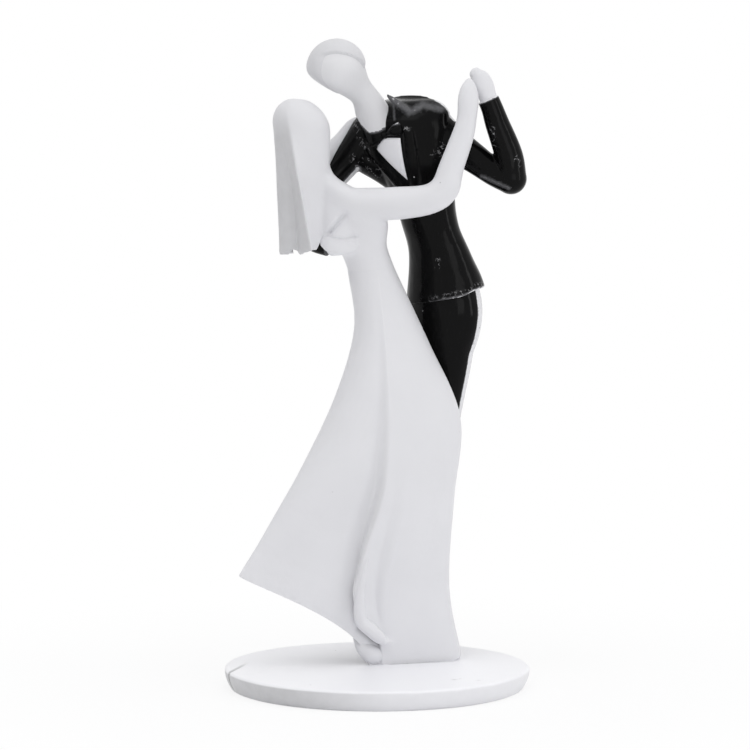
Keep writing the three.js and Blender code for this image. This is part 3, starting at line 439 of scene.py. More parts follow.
def spline(rows, share):
    """A smooth curve through rows of numbers, with share from 0 to 1: cubic pieces whose slope at a row is
    half the step from the row before it to the row after it, and whose ends mirror their neighbours."""
    rows = np.asarray(rows, dtype=float)
    padded = np.vstack([2 * rows[0] - rows[1], rows, 2 * rows[-1] - rows[-2]])
    place = np.clip(np.asarray(share, dtype=float), 0.0, 1.0) * (len(rows) - 1)
    at = np.minimum(place.astype(int), len(rows) - 2)
    w = (place - at)[..., None]
    before, start, end, after = (padded[at + k] for k in range(4))
    leave = (end - before) / 2
    arrive = (after - start) / 2
    return (
        (2 * w ** 3 - 3 * w ** 2 + 1) * start
        + (w ** 3 - 2 * w ** 2 + w) * leave
        + (3 * w ** 2 - 2 * w ** 3) * end
        + (w ** 3 - w ** 2) * arrive
    )


def unit(v):
    """Vectors scaled to length 1."""
    return v / np.linalg.norm(v, axis=-1, keepdims=True)


def limb(stations, across, sides=48, steps=14, level=False, flat=(False, False), shift=0.0):
    """Oval rings along a smooth line. A station is x, y, z, half-width and half-depth, the width lies along
    across made square to the line, and a domed end shrinks its rings as a quarter of a circle. Heights are
    above the base. The sections of a level limb stay horizontal, and shift turns the start of each ring."""
    rows = np.array([(*s, s[3]) if len(s) == 4 else s for s in stations], dtype=float)
    line = spline(rows, np.linspace(0.0, 1.0, (len(rows) - 1) * steps + 1))
    centres = line[:, :3]
    halves = np.maximum(line[:, 3:], 0.2)
    way = unit(np.gradient(centres, axis=0))
    if level:
        way = np.broadcast_to(np.array((0.0, 0.0, 1.0)), centres.shape)
    lean = np.linspace(0.0, 1.0, 10)[1:-1, None] * math.pi / 2
    if not flat[0]:
        tip = lean[::-1]
        centres = np.vstack([centres[0] - way[0] * halves[0].min() * np.sin(tip), centres])
        halves = np.vstack([halves[0] * np.cos(tip), halves])
        way = np.vstack([np.repeat(way[:1], len(tip), axis=0), way])
    if not flat[1]:
        centres = np.vstack([centres, centres[-1] + way[-1] * halves[-1].min() * np.sin(lean)])
        halves = np.vstack([halves, halves[-1] * np.cos(lean)])
        way = np.vstack([way, np.repeat(way[-1:], len(lean), axis=0)])
    across = np.asarray(across, dtype=float)
    side = unit(across - way * (way @ across)[:, None])
    other = np.cross(way, side)
    angle = 2 * np.pi * np.arange(sides) / sides + shift
    rings = (
        centres[:, None]
        + side[:, None] * (halves[:, :1] * np.cos(angle))[..., None]
        + other[:, None] * (halves[:, 1:] * np.sin(angle))[..., None]
    )
    return rings + ON_BASE


def shoe(foot, facing, width, height):
    """A limb laid along the ground from heel to toe, flattened at the sole. A row of its shape is the way
    forward from the ankle and the shares of the width and of the height."""
    facing = unit(np.array((*facing, 0.0)))
    forward, broad, tall = SHOE_SHAPE.T
    stations = np.column_stack(
        [
            foot[0] + facing[0] * forward,
            foot[1] + facing[1] * forward,
            height * tall * SOLE_SHARE,
            width * broad,
            height * tall * (1 - SOLE_SHARE),
        ]
    )
    rings = limb(stations, (-facing[1], facing[0], 0.0))
    rings[..., 2] = np.maximum(rings[..., 2], BASE_HEIGHT + 0.01)
    return rings


bride_slipper = put_piece("bride_slipper", shoe(**BRIDE_SHOE))
cast_white(bride_slipper, "bride_shoe")
recoat(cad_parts["bride_leg"], RESIN)


# The skirt hangs from the waist in one heavy sheet. It clings to the hips, swings out to the left in a
# train, and a deep fold runs down the front beside a rolled edge that curls over the shoe at the hem.
SKIRT_WALL = 2.0
HEM_ROUND = 1.8
FOLD_DEPTH = 3.0
ROLL_RISE = 1.3
TROUGH_DEPTH = 0.7
SKIRT_RIBS = {
    "right": [
        (3.5, 4.2, 82), (10.6, 5.2, 67), (17.3, 6.0, 51), (16.0, 6.2, 34), (14.6, 6.6, 15), (17.4, 6.8, 0)
    ],
    "front": [
        (0.2, -1.6, 82), (1.8, -3.6, 67.5), (2.6, -5.0, 52.5),
        (1.4, -4.6, 37), (-3.0, -2.0, 20), (-2.2, 0.6, 0),
    ],
    "left": [
        (-5.9, 2.4, 82), (-4.7, 1.8, 70), (-8.5, 0.8, 56.5),
        (-14.8, -0.6, 43), (-21.3, -2.2, 31), (-28.1, -4.0, 19.5),
    ],
    "back": [
        (-2.4, 7.6, 82), (0.6, 8.4, 67), (3.4, 8.8, 51), (4.4, 9.8, 34), (5.0, 11.4, 16), (5.5, 13.2, 0)
    ],
}
ROLL_DOWN = np.array((0.745, 0.805, 0.85, 0.88, 0.907, 0.919, 0.928, 0.935))
ROLL_WIDTH = np.array((0.4, 0.7, 1.0, 1.25, 1.4, 1.45, 1.3, 0.9))
ROLL_SUNK = 0.55
FOLD_FROM_ROLL = 2.5
TUCKED_HEM = [(-4.2, 2.6, 5.4, 0.8), (-2.9, 1.9, 3.6, 1.6), (-1.1, 1.7, 2.2, 2.0), (0.5, 2.8, 1.6, 1.4)]
# A line just under the rolled edge, along which painted shade is laid.
UNDER_ROLL = [(-3.9, 7.5), (-1.3, 5.5), (0.5, 4.6)]


def roll_turn(down):
    """Degrees from the front rib to the rolled edge: a bell takes it to the left above the hem, and an
    S-curve swings it to the right just before it."""
    return 2.5 - 2.5 * bell((down - 0.88) / 0.05) + 13.0 * smooth(0.904, 0.935, down)


def skirt_surface(down, angle, inset):
    """Four ribs run from waist to hem. Between two ribs the section is a quarter of an oval: the middle plus
    the side rib's offset times the cosine of the angle and the face rib's times its sine. Left of the front
    rib a fold cuts in steeply and eases out as a falling exponential. Bells of the angle raise the rolled
    edge and sink the trough beside it. The hem is rounded under at the right as a quarter of a circle."""
    ribs = {name: spline(rows, down)[:, None] for name, rows in SKIRT_RIBS.items()}
    c = np.cos(angle)[..., None]
    s = np.sin(angle)[..., None]
    span = ribs["right"][..., :1] - ribs["left"][..., :1]
    share = ((ribs["front"] + ribs["back"])[..., :1] / 2 - ribs["left"][..., :1]) / span
    middle = mix(ribs["left"], ribs["right"], share)
    side = np.where(c > 0, ribs["right"], ribs["left"])
    face = np.where(s > 0, ribs["back"], ribs["front"])
    out = (side - middle) * np.abs(c) + (face - middle) * np.abs(s)
    out[..., 2] = 0.0
    reach = np.linalg.norm(out, axis=-1, keepdims=True)
    low = np.asarray(down)[:, None, None]
    turn = np.degrees(angle)[..., None] - 270.0
    roll_at = roll_turn(low)
    left = np.maximum(roll_at - FOLD_FROM_ROLL - turn, 0.0)
    cut_in = (1 - bell(left / mix(10.0, 4.0, smooth(0.3, 0.8, low)))) * np.exp(-left / 32.0)
    valley = FOLD_DEPTH * smooth(0.0, 0.70, low) * cut_in * mix(1.0, 0.35, smooth(0.935, 0.985, low))
    roll = ROLL_RISE * smooth(0.50, 0.88, low) * smooth(0.957, 0.932, low) * bell((turn - roll_at) / 4.5)
    trough = TROUGH_DEPTH * smooth(0.45, 0.86, low) * smooth(0.91, 0.86, low) * bell((turn - 10.5) / 5.0)
    bow = np.where(s < 0, 0.54, 1.0)
    rising = np.where((s < 0) & (c > 0), smooth(0.0, 0.35, c), np.abs(c) ** bow)
    height = mix(face[..., 2:], side[..., 2:], rising)
    under = np.clip(1 - height / HEM_ROUND, 0.0, 1.0) * smooth(0.40, 0.75, c)
    tucked = 0.6 * HEM_ROUND * (1 - np.sqrt(1 - under ** 2))
    out = out * (reach - valley + roll - trough - tucked - inset) / reach
    return np.concatenate([middle[..., :2] + out[..., :2], height + BASE_HEIGHT], axis=-1)


def skirt_rings(rows, columns):
    """The outer sheet from waist to hem, a rounded lip, and the inner sheet back up into the hollow."""
    turn = np.arange(columns) / columns - 0.75
    angle = 2 * np.pi * (turn - 0.8 * np.sin(2 * np.pi * turn) / (2 * np.pi) + 0.75)
    angle = np.mod(angle, 2 * np.pi)[None]
    outer = skirt_surface(np.linspace(0.0, 1.0, rows), angle, 0.0)
    lean = np.linspace(0.0, np.pi, 9)[1:-1]
    lip = np.concatenate(
        [skirt_surface(np.array([1.0]), angle, SKIRT_WALL * (1 - math.cos(k)) / 2) for k in lean]
    )
    lip[..., 2] -= 0.35 * np.sin(lean)[:, None] * smooth(0.2, 2.0, lip[..., 2] - BASE_HEIGHT)
    inner = skirt_surface(np.linspace(1.0, 0.68, rows // 4), angle, SKIRT_WALL)
    return np.concatenate([outer, lip, inner])


def beside_roll(down, degrees, inset):
    """Places on the skirt that follow its rolled edge, some degrees round from it and sunk by an inset."""
    grid = skirt_surface(down, np.radians(270.0 + degrees + roll_turn(down))[None], inset)
    return np.diagonal(grid, axis1=0, axis2=1).T - ON_BASE


def cast_together(piece, grain, rounds):
    """Fuses a piece's overlapping skins into one with a voxel remesh, and rounds the joins by smoothing."""
    remesh = piece.modifiers.new("cast", "REMESH")
    remesh.mode = "VOXEL"
    remesh.voxel_size = grain * MM
    ease = piece.modifiers.new("ease", "SMOOTH")
    ease.factor = 0.5
    ease.iterations = rounds
    view = bpy.context.evaluated_depsgraph_get()
    mesh = bpy.data.meshes.new_from_object(piece.evaluated_get(view))
    piece.modifiers.clear()
    piece.data = mesh
    mesh.shade_smooth()


skirt = put_piece("bride_gown_skirt", skirt_rings(220, 300))
skirt_points = points_of(skirt)
x, y, z = skirt_points.T
fold_line = beside_roll(np.linspace(1.0, 0.2, 60), -FOLD_FROM_ROLL, 0.0)
into_fold = np.interp(z, fold_line[:, 2], fold_line[:, 0]) - x
# Painted shade in the deep fold: grey that fades out to the left of the fold line, over the middle of the
# skirt's height.
fold_shade = np.exp(-np.maximum(into_fold, 0.0) / 1.9) * smooth(-0.6, 0.3, into_fold)
fold_shade = fold_shade * smooth(58.0, 30.0, z) * smooth(7.0, 12.0, z)
# Painted shade: a grey band on the skirt just under the rolled edge, where it overhangs the tucked hem.
under_roll_shade = bell(from_path(skirt_points[:, (0, 2)], *UNDER_ROLL) / 0.6) * smooth(6.0, 4.0, y)
cast_white(skirt, "bride_skirt", dirt_and_shade=np.maximum(0.17 * fold_shade, 0.40 * under_roll_shade))
rolled_edge = np.column_stack([beside_roll(ROLL_DOWN, 0.0, ROLL_SUNK), ROLL_WIDTH])
curl = put_piece("bride_curled_hem", limb(rolled_edge, (0.9, 0.4, 0.0)), limb(TUCKED_HEM, (0.0, 1.0, 0.0)))
cast_together(curl, grain=0.20, rounds=5)
cast_white(curl)


# Bride's head is a bare ball on a tapering neck, with her hair a smooth cap that stands a little proud of
# it. Both are mostly under the veil.
BRIDE_BALL = 4.4
NECK = 2.3
TAPER = 1.42
HAIR_RISE = 0.5
HAIR_SUNK = -0.6
# The hair's coat is greyer than the skin, partly as its own tone and partly as painted shade that offsets the
# overhead light on the crowns.
HAIR_COAT_WITH_CROWN_SHADE = white_resin("greyer_white_hair_with_painted_shade", light=0.73, dark=0.67, matt=(0.42, 0.58), shine=0.35, grain=1.0)


def bulb(line, ball, neck, grow=0.0, flare=0.0, sides=64, rows=40):
    """Head and neck in one. The crown is half a ball. From there along the line the radius goes from ball
    to neck as the cube of 1 minus the square of the share of the taper, and flare widens the foot as the
    square of the way along. grow swells it all round."""
    length = np.concatenate([[0.0], np.cumsum(np.linalg.norm(np.diff(line, axis=0), axis=1))])
    taper = min(ball * TAPER, length[-1])
    grow = np.broadcast_to(grow, (2 * rows, sides))
    angle = 2 * np.pi * np.arange(sides) / sides

    def around(centres, way, out):
        side = unit(np.array((0.0, 1.0, 0.0)) - way * way[:, 1:2])
        other = np.cross(way, side)
        wide = side[:, None] * (out * np.cos(angle))[..., None]
        return centres + (wide + other[:, None] * (out * np.sin(angle))[..., None])

    aim = unit(line[1] - line[0])[None]
    lean = np.linspace(0.02, 1.0, rows)[:, None] * math.pi / 2
    back = -((ball + grow[:rows]) * np.cos(lean))[..., None] * aim[:, None]
    crown = around(line[0] + back, aim, (ball + grow[:rows]) * np.sin(lean))
    run = np.linspace(0.0, length[-1], rows + 1)[1:]
    spots = np.stack([np.interp(run, length, line[:, k]) for k in range(3)], axis=-1)
    slopes = np.gradient(line, axis=0)
    way = unit(np.stack([np.interp(run, length, slopes[:, k]) for k in range(3)], axis=-1))
    tapered = (1 - np.minimum(run / taper, 1.0) ** 2) ** 3
    out = neck + (ball - neck) * tapered + flare * (run / length[-1]) ** 2
    stem = around(spots[:, None], way, out[:, None] + grow[rows:])
    return np.concatenate([crown, stem]) + ON_BASE


def hair_growth(rings, head_at, planes, nape, down_way):
    """How far hair stands out at each point of a head. The face lies beyond every plane, each given by a
    direction, its distance from the middle of the head and half the width of its step. Hair covers the rest
    down to the nape and is sunk under the skin elsewhere."""
    points = rings - ON_BASE
    face = np.ones(rings.shape[:2])
    for way, away, soft in planes:
        face = face * smooth(-soft, soft, (points - head_at) @ unit(np.array(way)) - away)
    above = smooth(0.9, -0.9, (points - nape) @ unit(down_way))
    return mix(HAIR_SUNK, HAIR_RISE, (1 - face) * above)


bride_head_at = np.array((-14.6, -1.9, 110.6))
bride_neck_foot = np.array((-12.6, -1.3, 104.2))
bride_line = mix(bride_head_at, bride_neck_foot, np.linspace(0.0, 0.85, 30)[:, None])
bride_head_rings = bulb(bride_line, BRIDE_BALL, NECK)
bride_head = put_piece("bride_head_and_neck", bride_head_rings)
cast_white(bride_head, "bride_head")
bride_cap = hair_growth(
    bride_head_rings,
    bride_head_at,
    [((0.6, 0.8, 0.0), 1.6, 0.35)],
    mix(bride_head_at, bride_neck_foot, 0.45),
    bride_neck_foot - bride_head_at,
)
bride_hair = put_piece("bride_smooth_hair", bulb(bride_line, BRIDE_BALL, NECK, grow=bride_cap))
cast_white(bride_hair, "bride_hair", coat=HAIR_COAT_WITH_CROWN_SHADE)


# Bride's upper body and veil are one casting. The waist flows up out of the skirt, her right arm reaches
# across to the joined hands, and her left one lies behind the groom's shoulder. The veil falls from a dome
# over her hair to a wavy hem, with a sharp ridge between its lit right face and the fold at its left.
ARM = 3.4
WRIST = 1.9
CREASE_DEPTH = 0.75
BODY_ACROSS = (0.8, -0.6, 0.0)
BODY_SHIFT = 0.6435
BODY_STATIONS = [
    (-1.5, 3.2, 82, 5.0, 4.5),
    (-3.2, 2.6, 87, 5.6, 4.6),
    (-4.7, 1.4, 92, 7.8, 5.0),
    (-7.2, 0.3, 96.6, 6.8, 4.4),
    (-10.9, -0.6, 100.8, 2.9, 2.7),
    (-12.2, -1.2, 103.8, NECK + 0.2, NECK + 0.2),
    (-13.2, -1.6, 107, NECK, NECK),
]
RIGHT_ARM = [
    (-3.4, -2.3, 95.4, ARM),
    (0.4, -3.5, 95.5, ARM),
    (4.8, -4.4, 95.7, ARM),
    (10.6, -5.0, 96.5, ARM * 0.92),
    (13.7, -4.9, 98.6, ARM * 0.9),
    (15.1, -4.4, 102.9, ARM * 0.78),
    (17.45, -3.4, 109.4, WRIST * 1.25),
    (18.25, -2.9, 112.8, WRIST * 1.1),
    (18.55, -2.6, 116.4, 2.4, 1.8),
    (18.7, -2.3, 119.0, 2.0, 1.4),
    (18.8, -2.0, 120.6, 1.0, 0.8),
]
LEFT_ARM = [
    (-9.2, 1.6, 96.2, ARM * 0.85),
    (-11.0, 3.4, 97.4, ARM * 0.8),
    (-13.2, 6.4, 99.2, ARM * 0.82),
    (-13.0, 10.4, 101.6, ARM * 0.75),
    (-10.2, 12.8, 105.0, WRIST * 1.15),
    (-7.6, 13.6, 107.9, WRIST),
    (-5.2, 14.0, 110.6, 2.1, 1.6),
    (-3.4, 14.2, 112.2, 1.5, 1.2),
]
BACK = [
    (-10.6, 0.4, 98.6, 2.6, 2.6),
    (-8.4, 0.3, 94.5, 4.8, 3.9),
    (-7.4, 0.3, 90.6, 4.5, 3.8),
    (-6.9, 0.6, 87.4, 4.2, 3.4),
    (-6.5, 0.9, 85.3, 3.6, 2.8),
]
STRAP = [(-10.4, 89.0), (-5.5, 94.3)]
HAND_CREASE = [(-10.4, 88.3), (-6.9, 88.3), (-4.4, 88.8)]
VEIL_THICKNESS = 1.3
VEIL_DOME = 5.9
VEIL_WIDE = 4.4
VEIL_DEEP = 5.2
VEIL_FLATNESS = 4.4
VEIL_TOP = np.array((-15.35, -2.0, 110.8))
VEIL_FOOT = np.array((-15.25, -1.6, 85.7))
DOME_SHARE = 0.24
RIDGE_ALONG = 0.3
RIDGE_TURNS = (90.0, 30.0)
RIDGE_FOOT = (-13.3, 86.0)
RIDGE_SLOPE = 0.177
PANEL_TURN = 80.0


def body_rings(columns):
    """Below the waist the rings follow the skirt and dive slowly under it. Above it they turn from the
    skirt's section into level ovals on a smooth line through the stations."""
    angle = 2 * np.pi * np.arange(columns) / columns
    sink = np.linspace(0.12, 0.0, 16)
    under = [skirt_surface(np.array([k]), angle[None], 4.2 * k - 0.04)[0] for k in sink]
    body = limb(BODY_STATIONS, BODY_ACROSS, columns, level=True, flat=(True, True), shift=BODY_SHIFT)
    waist = under[-1] - body[0].mean(axis=0)
    carried_up = body.mean(axis=1, keepdims=True) + waist
    share = smooth(82.0, 89.0, body[..., 2:] - BASE_HEIGHT)
    return np.concatenate([np.array(under), mix(carried_up, body, share)[1:]])


def normals_of(piece):
    """The outward direction at each vertex of a piece."""
    flat = np.empty(len(piece.data.vertices) * 3)
    piece.data.vertex_normals.foreach_get("vector", flat)
    return flat.reshape(-1, 3)


def move_points(piece, points):
    """Puts changed vertices back, given in millimetres with heights above the base."""
    piece.data.vertices.foreach_set("co", ((points + ON_BASE) * MM).ravel())
    piece.data.update()


def eased(piece, share, rounds):
    """A piece's vertices after rounds of smoothing: each moves its share of the way to the mean of its
    neighbours."""
    points = points_of(piece)
    ends = np.empty(len(piece.data.edges) * 2, dtype=np.int32)
    piece.data.edges.foreach_get("vertices", ends)
    one, other = ends.reshape(-1, 2).T
    count = np.bincount(ends, minlength=len(points))[:, None]
    for _ in range(rounds):
        near = [
            np.bincount(one, points[other, k], len(points)) + np.bincount(other, points[one, k], len(points))
            for k in range(3)
        ]
        points = points + share[:, None] * (np.stack(near, axis=-1) / count - points)
    return points


def veil_surface(along, down, inset):
    """Rings about an upright line, open in front of her. The first share of the fall is a dome, and
    the rest narrows into the foot. Right of the ridge the section is a chord, which makes a flat face. Left
    of it the section falls straight to a groove and rises straight out of it. A sine waves the hem."""
    drape = np.maximum(down - DOME_SHARE, 0.0) / (1 - DOME_SHARE)
    lean = np.minimum(down / DOME_SHARE, 1.0) * math.pi / 2
    slim = smooth(0.0, 1.0, drape)
    wide_open = smooth(0.05, 0.7, drape)
    ridge = np.radians(mix(*RIDGE_TURNS, down))
    before = np.radians(mix(-70.0, -48.0, wide_open)) - ridge
    after = np.radians(mix(250.0, 195.0, wide_open)) - ridge
    away = np.where(
        along < RIDGE_ALONG,
        before * (1 - along / RIDGE_ALONG),
        after * (along - RIDGE_ALONG) / (1 - RIDGE_ALONG),
    )
    angle = ridge + away
    turn = np.degrees(away)
    grown = smooth(0.10, 0.60, down)
    ridge_line = mix(1.2, 2.0, drape) * np.exp(-np.abs(turn) / 10.0)
    groove = mix(1.6, 3.3, drape) * np.clip(np.minimum(turn / 34.0, (100.0 - turn) / 66.0), 0.0, 1.0)
    panel = np.clip(-turn, 0.0, PANEL_TURN)
    chord = math.sin(math.radians(PANEL_TURN)) / (
        np.sin(np.radians(panel)) + np.sin(np.radians(PANEL_TURN - panel))
    )
    flat = np.where(turn < 0, chord - 1.0, 0.0)
    fold = grown * (ridge_line - groove + VEIL_FLATNESS * flat)
    dome = np.sin(lean)
    wide = (mix(VEIL_DOME, VEIL_WIDE, slim) + fold - inset) * dome
    deep = (mix(VEIL_DOME, VEIL_DEEP, slim) + fold - inset) * dome
    rise = (VEIL_DOME + 0.3 - inset) * np.cos(lean)
    wave = (0.7 * np.sin(5 * angle) + 2.0 * smooth(0.28, 0.0, along)) * smooth(0.75, 1.0, drape)
    centre = mix(VEIL_TOP, VEIL_FOOT, drape[..., None])
    across = wide * np.cos(angle)
    facing = -deep * np.sin(angle)
    tilt = -1.1 * np.cos(lean)
    x = centre[..., 0] + tilt + BODY_ACROSS[0] * across - BODY_ACROSS[1] * facing
    y = centre[..., 1] + BODY_ACROSS[1] * across + BODY_ACROSS[0] * facing
    return np.stack([x, y, centre[..., 2] + rise + wave + BASE_HEIGHT], axis=-1)


def veil_rings(rows, columns):
    """Each ring runs along the outer face, round the edge and back along the inner face."""
    down = np.linspace(0.004, 1.0, rows)[:, None]
    along = np.linspace(0.0, 1.0, columns)[None]
    half_turn = np.linspace(0.0, np.pi, 8)[1:-1]
    outer = veil_surface(along, down, 0.0)
    inner = veil_surface(along[:, ::-1], down, VEIL_THICKNESS)
    swell = 0.006 * np.sin(half_turn)
    depth = VEIL_THICKNESS * (1 - np.cos(half_turn)) / 2
    right = veil_surface((1.0 + swell)[None], down, depth[None])
    left = veil_surface((-swell)[None], down, depth[None, ::-1])
    return np.concatenate([outer, right, inner, left], axis=1)


upper_body = put_piece(
    "bride_upper_body",
    body_rings(96),
    limb(RIGHT_ARM, (0.9, 0.44, 0.0)),
    limb(LEFT_ARM, (0.6, 0.0, 0.8)),
    limb(BACK, (1.0, -0.1, 0.0), flat=(False, True)),
    veil_rings(150, 130),
)
cast_together(upper_body, grain=0.30, rounds=4)
x, _, z = points_of(upper_body).T
right_of_ridge = x - RIDGE_FOOT[0] + RIDGE_SLOPE * (z - RIDGE_FOOT[1])
body_points = eased(upper_body, 0.5 * smooth(0.8, 2.2, right_of_ridge), 26)
move_points(upper_body, body_points)
seen_places = body_points[:, (0, 2)]
off_strap, along_strap = from_segment(seen_places, *STRAP)
strap = bell(off_strap / mix(0.36, 0.80, along_strap))
strap = 1.3 * strap * smooth(0.0, 0.1, along_strap) * smooth(1.0, 0.7, along_strap)
crease = np.maximum(strap, 0.6 * bell(from_path(seen_places, *HAND_CREASE) / 0.35))
body_ways = normals_of(upper_body)
crease = crease * smooth(0.0, 0.4, -body_ways[:, 1])
body_points = body_points - body_ways * (CREASE_DEPTH * crease)[:, None]
move_points(upper_body, body_points)
x, _, z = body_points.T
left_of_ridge = smooth(0.4, -0.4, right_of_ridge) * smooth(116.0, 108.0, z)
# Painted shade: the veil is greyed a little all over and more on its left face beyond the ridge, turned away
# from the light. The band along the lower hem is dirt.
veil_shade = smooth(-9.6, -10.6, x) * smooth(85.0, 86.0, z) * mix(0.05, 0.32, left_of_ridge)
hem_dirt = 0.30 * smooth(87.2, 86.2, z) * smooth(-14.6, -15.6, x)
upper_nodes = ("bride_bodice", "bride_torso", "bride_right_arm", "bride_left_arm", "bride_veil")
cast_white(upper_body, *upper_nodes, dirt_and_shade=np.maximum(veil_shade, hem_dirt))


# The groom's shoes, trousers, jacket and sleeves are the same white casting under gloss black paint, put on
# with a brush: it pools in the creases, wears through on the edges and has small chips and cracks in it.
GROOM_SHOE = {"width": 5.4, "height": 3.6}
GROOM_FEET = {"left": (10.4, 22.0), "right": (3.6, 24.0)}
SHOE_WAYS = {"left": (-0.35, -0.94), "right": (-0.75, -0.66)}


def gloss_black(name):
    """Black gloss over white resin. One attribute runs from 0 where the paint is whole to 1 where there is
    none, and noise frays the edge between them; its middle values grey the paint, both as rubbed paint and as
    painted highlights. Where the crazed attribute is raised, a web of fine cracks shows white: contour lines
    of one noise, broken by the other. A few chips lie elsewhere."""
    material, tree, shader, place = new_material(name)
    bare_and_highlight = kept_layer(tree, "bare_and_highlight")
    fray = noise(tree, place, 1300.0, 4.0, 0.65)
    frayed = reckon(tree, "SUBTRACT", reckon(tree, "MULTIPLY_ADD", fray, 0.9, bare_and_highlight), 0.45)
    edge = carried(tree, frayed, 0.46, 0.54, 0.0, 1.0)
    flake = scattered(tree, place, 520.0, (0.05, 0.11), (0.93, 0.98), 0.75)
    web = noise(tree, place, 620.0, 4.0)
    off_contour = reckon(tree, "ABSOLUTE", reckon(tree, "SUBTRACT", web, 0.5))
    contour = carried(tree, off_contour, 0.0, 0.03, 0.5, 0.0)
    gaps = carried(tree, fray, 0.45, 0.60, 0.0, 1.0)
    opened = reckon(tree, "MULTIPLY", gaps, kept_layer(tree, "crazed"))
    crack = reckon(tree, "MULTIPLY", contour, opened)
    lifted = reckon(tree, "MAXIMUM", reckon(tree, "MAXIMUM", edge, flake), crack)
    thin = noise(tree, place, 260.0, 3.0)
    ink = blend(tree, thin, (0.0020, 0.0020, 0.0021, 1.0), (0.0045, 0.0045, 0.0048, 1.0))
    # Middle values grey the paint: rubbed paint, and painted highlights where a piece lays them.
    rubbed_and_highlight = carried(tree, reckon(tree, "MULTIPLY_ADD", fray, 0.3, bare_and_highlight), 0.20, 0.70, 0.0, 1.0)
    greyed = blend(tree, rubbed_and_highlight, ink, (0.19, 0.19, 0.20, 1.0))
    colour = blend(tree, lifted, greyed, (0.80, 0.80, 0.82, 1.0))
    gloss = carried(tree, thin, 0.3, 0.7, 0.08, 0.18)
    rough = carried(tree, lifted, 0.0, 1.0, gloss, 0.5)
    strokes = noise(tree, stretched(tree, place, (900.0, 900.0, 160.0)), 1.0)
    pooled = bumps(tree, noise(tree, place, 150.0), 0.35, 0.0008)
    combed = bumps(tree, strokes, 0.2, 0.0002, pooled)
    stepped = bumps(tree, lifted, 0.5, 0.0001, combed, invert=True)
    looks = {"Base Color": colour, "Roughness": rough, "Normal": stepped, "Specular IOR Level": 0.085}
    set_inputs(tree, shader, looks)
    return material


PAINT = gloss_black("gloss_black_paint")


def paint_black(piece, bare_and_highlight, *nodes, crazed=0.0):
    """Gives a piece its black gloss with the share of bare casting and of cracks at each vertex, and sets it
    on the body. Middle shares of bare casting grey the paint, as rubbing and as painted highlights."""
    recoat(piece, PAINT)
    keep_layer(piece, "bare_and_highlight", bare_and_highlight)
    keep_layer(piece, "crazed", crazed)
    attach(piece, "root")
    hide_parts(*nodes)


for side, foot in GROOM_FEET.items():
    black_shoe = put_piece(f"groom_{side}_black_shoe", shoe(foot, SHOE_WAYS[side], **GROOM_SHOE))
    above_sole = points_of(black_shoe)[:, 2]
    paint_black(black_shoe, 0.75 * smooth(0.5, 0.05, above_sole), f"groom_{side}_shoe")


# Trousers: hips and two legs in one casting, close together down to the shoes. A mould line at their right
# side has lost its paint.
THIGH = 4.7
ANKLE = 2.9
HIPS = [
    (14.0, 13.0, 80.0, 6.6, 5.2),
    (14.2, 13.2, 76.4, 7.9, 6.2),
    (14.2, 13.3, 71.6, 8.4, 6.4),
    (13.4, 13.8, 66.0, 7.7, 5.9),
    (12.8, 14.3, 61.0, 6.2, 4.9),
    (12.0, 14.9, 56.5, 4.0, 3.4),
]
TROUSER_LEGS = {
    "left": [
        (16.4, 11.7, 74, THIGH, THIGH * 1.15),
        (15.3, 12.6, 63, THIGH * 0.98),
        (13.0, 14.8, 48, THIGH * 0.88),
        (11.0, 17.8, 26, THIGH * 0.74),
        (*GROOM_FEET["left"], 2.2, ANKLE),
    ],
    "right": [
        (11.4, 15.2, 74, THIGH, THIGH * 1.1),
        (9.4, 16.6, 63, THIGH * 0.98),
        (7.0, 18.6, 48, THIGH * 0.88),
        (4.8, 20.6, 26, THIGH * 0.74),
        (*GROOM_FEET["right"], 2.2, ANKLE),
    ],
}
MOULD_LINE_WAY = np.array((0.927, -0.375, 0.0))
MOULD_LINE_EDGE = 0.955
groom_across = np.array((0.8, -0.6, 0.0))
groom_facing = np.array((-0.6, -0.8, 0.0))
trousers = put_piece(
    "groom_black_trousers",
    limb(HIPS, groom_across, flat=(True, False)),
    *(limb(rows, groom_across, flat=(False, True)) for rows in TROUSER_LEGS.values()),
)
cast_together(trousers, grain=0.34, rounds=10)
above_shoes = points_of(trousers)[:, 2]
level_ways = unit(normals_of(trousers) * np.array((1.0, 1.0, 0.0)) + 1e-6)
narrowed = 0.03 * smooth(56.0, 44.0, above_shoes)
mould_line = smooth(0.0, 0.02, level_ways @ MOULD_LINE_WAY - MOULD_LINE_EDGE - narrowed)
paint_black(trousers, 0.66 * mould_line * smooth(42.0, 50.0, above_shoes), "groom_trousers")


# The groom's head is one smooth bulb that leans over on a thick neck. His hair is a cap a step above the
# face, sharp over the brow and soft at the temple. The black of the suit ends raggedly at the neck's foot.
GROOM_BULB = {"ball": 5.8, "neck": 3.0}
NECK_FLARE = 0.9
UNDERSIDE = 4.2
UNDERSIDE_SOFTNESS = 0.8
UNDERSIDE_WAY = np.array((-0.52, 0.0, -0.854))
SUIT_TOP = 110.0
BROW = ((-0.04, -0.61, -0.79), 0.6, 0.35)
TEMPLE = ((0.58, -0.81, -0.10), 2.3, 1.8)
groom_head_at = np.array((-8.25, 4.0, 122.85))
groom_bend = np.array((-1.1, 7.3, 116.4))
groom_neck_foot = np.array((1.3, 8.8, 109.4))
groom_line = bent(groom_head_at, groom_bend, groom_neck_foot, np.linspace(0.0, 1.0, 60)[:, None])


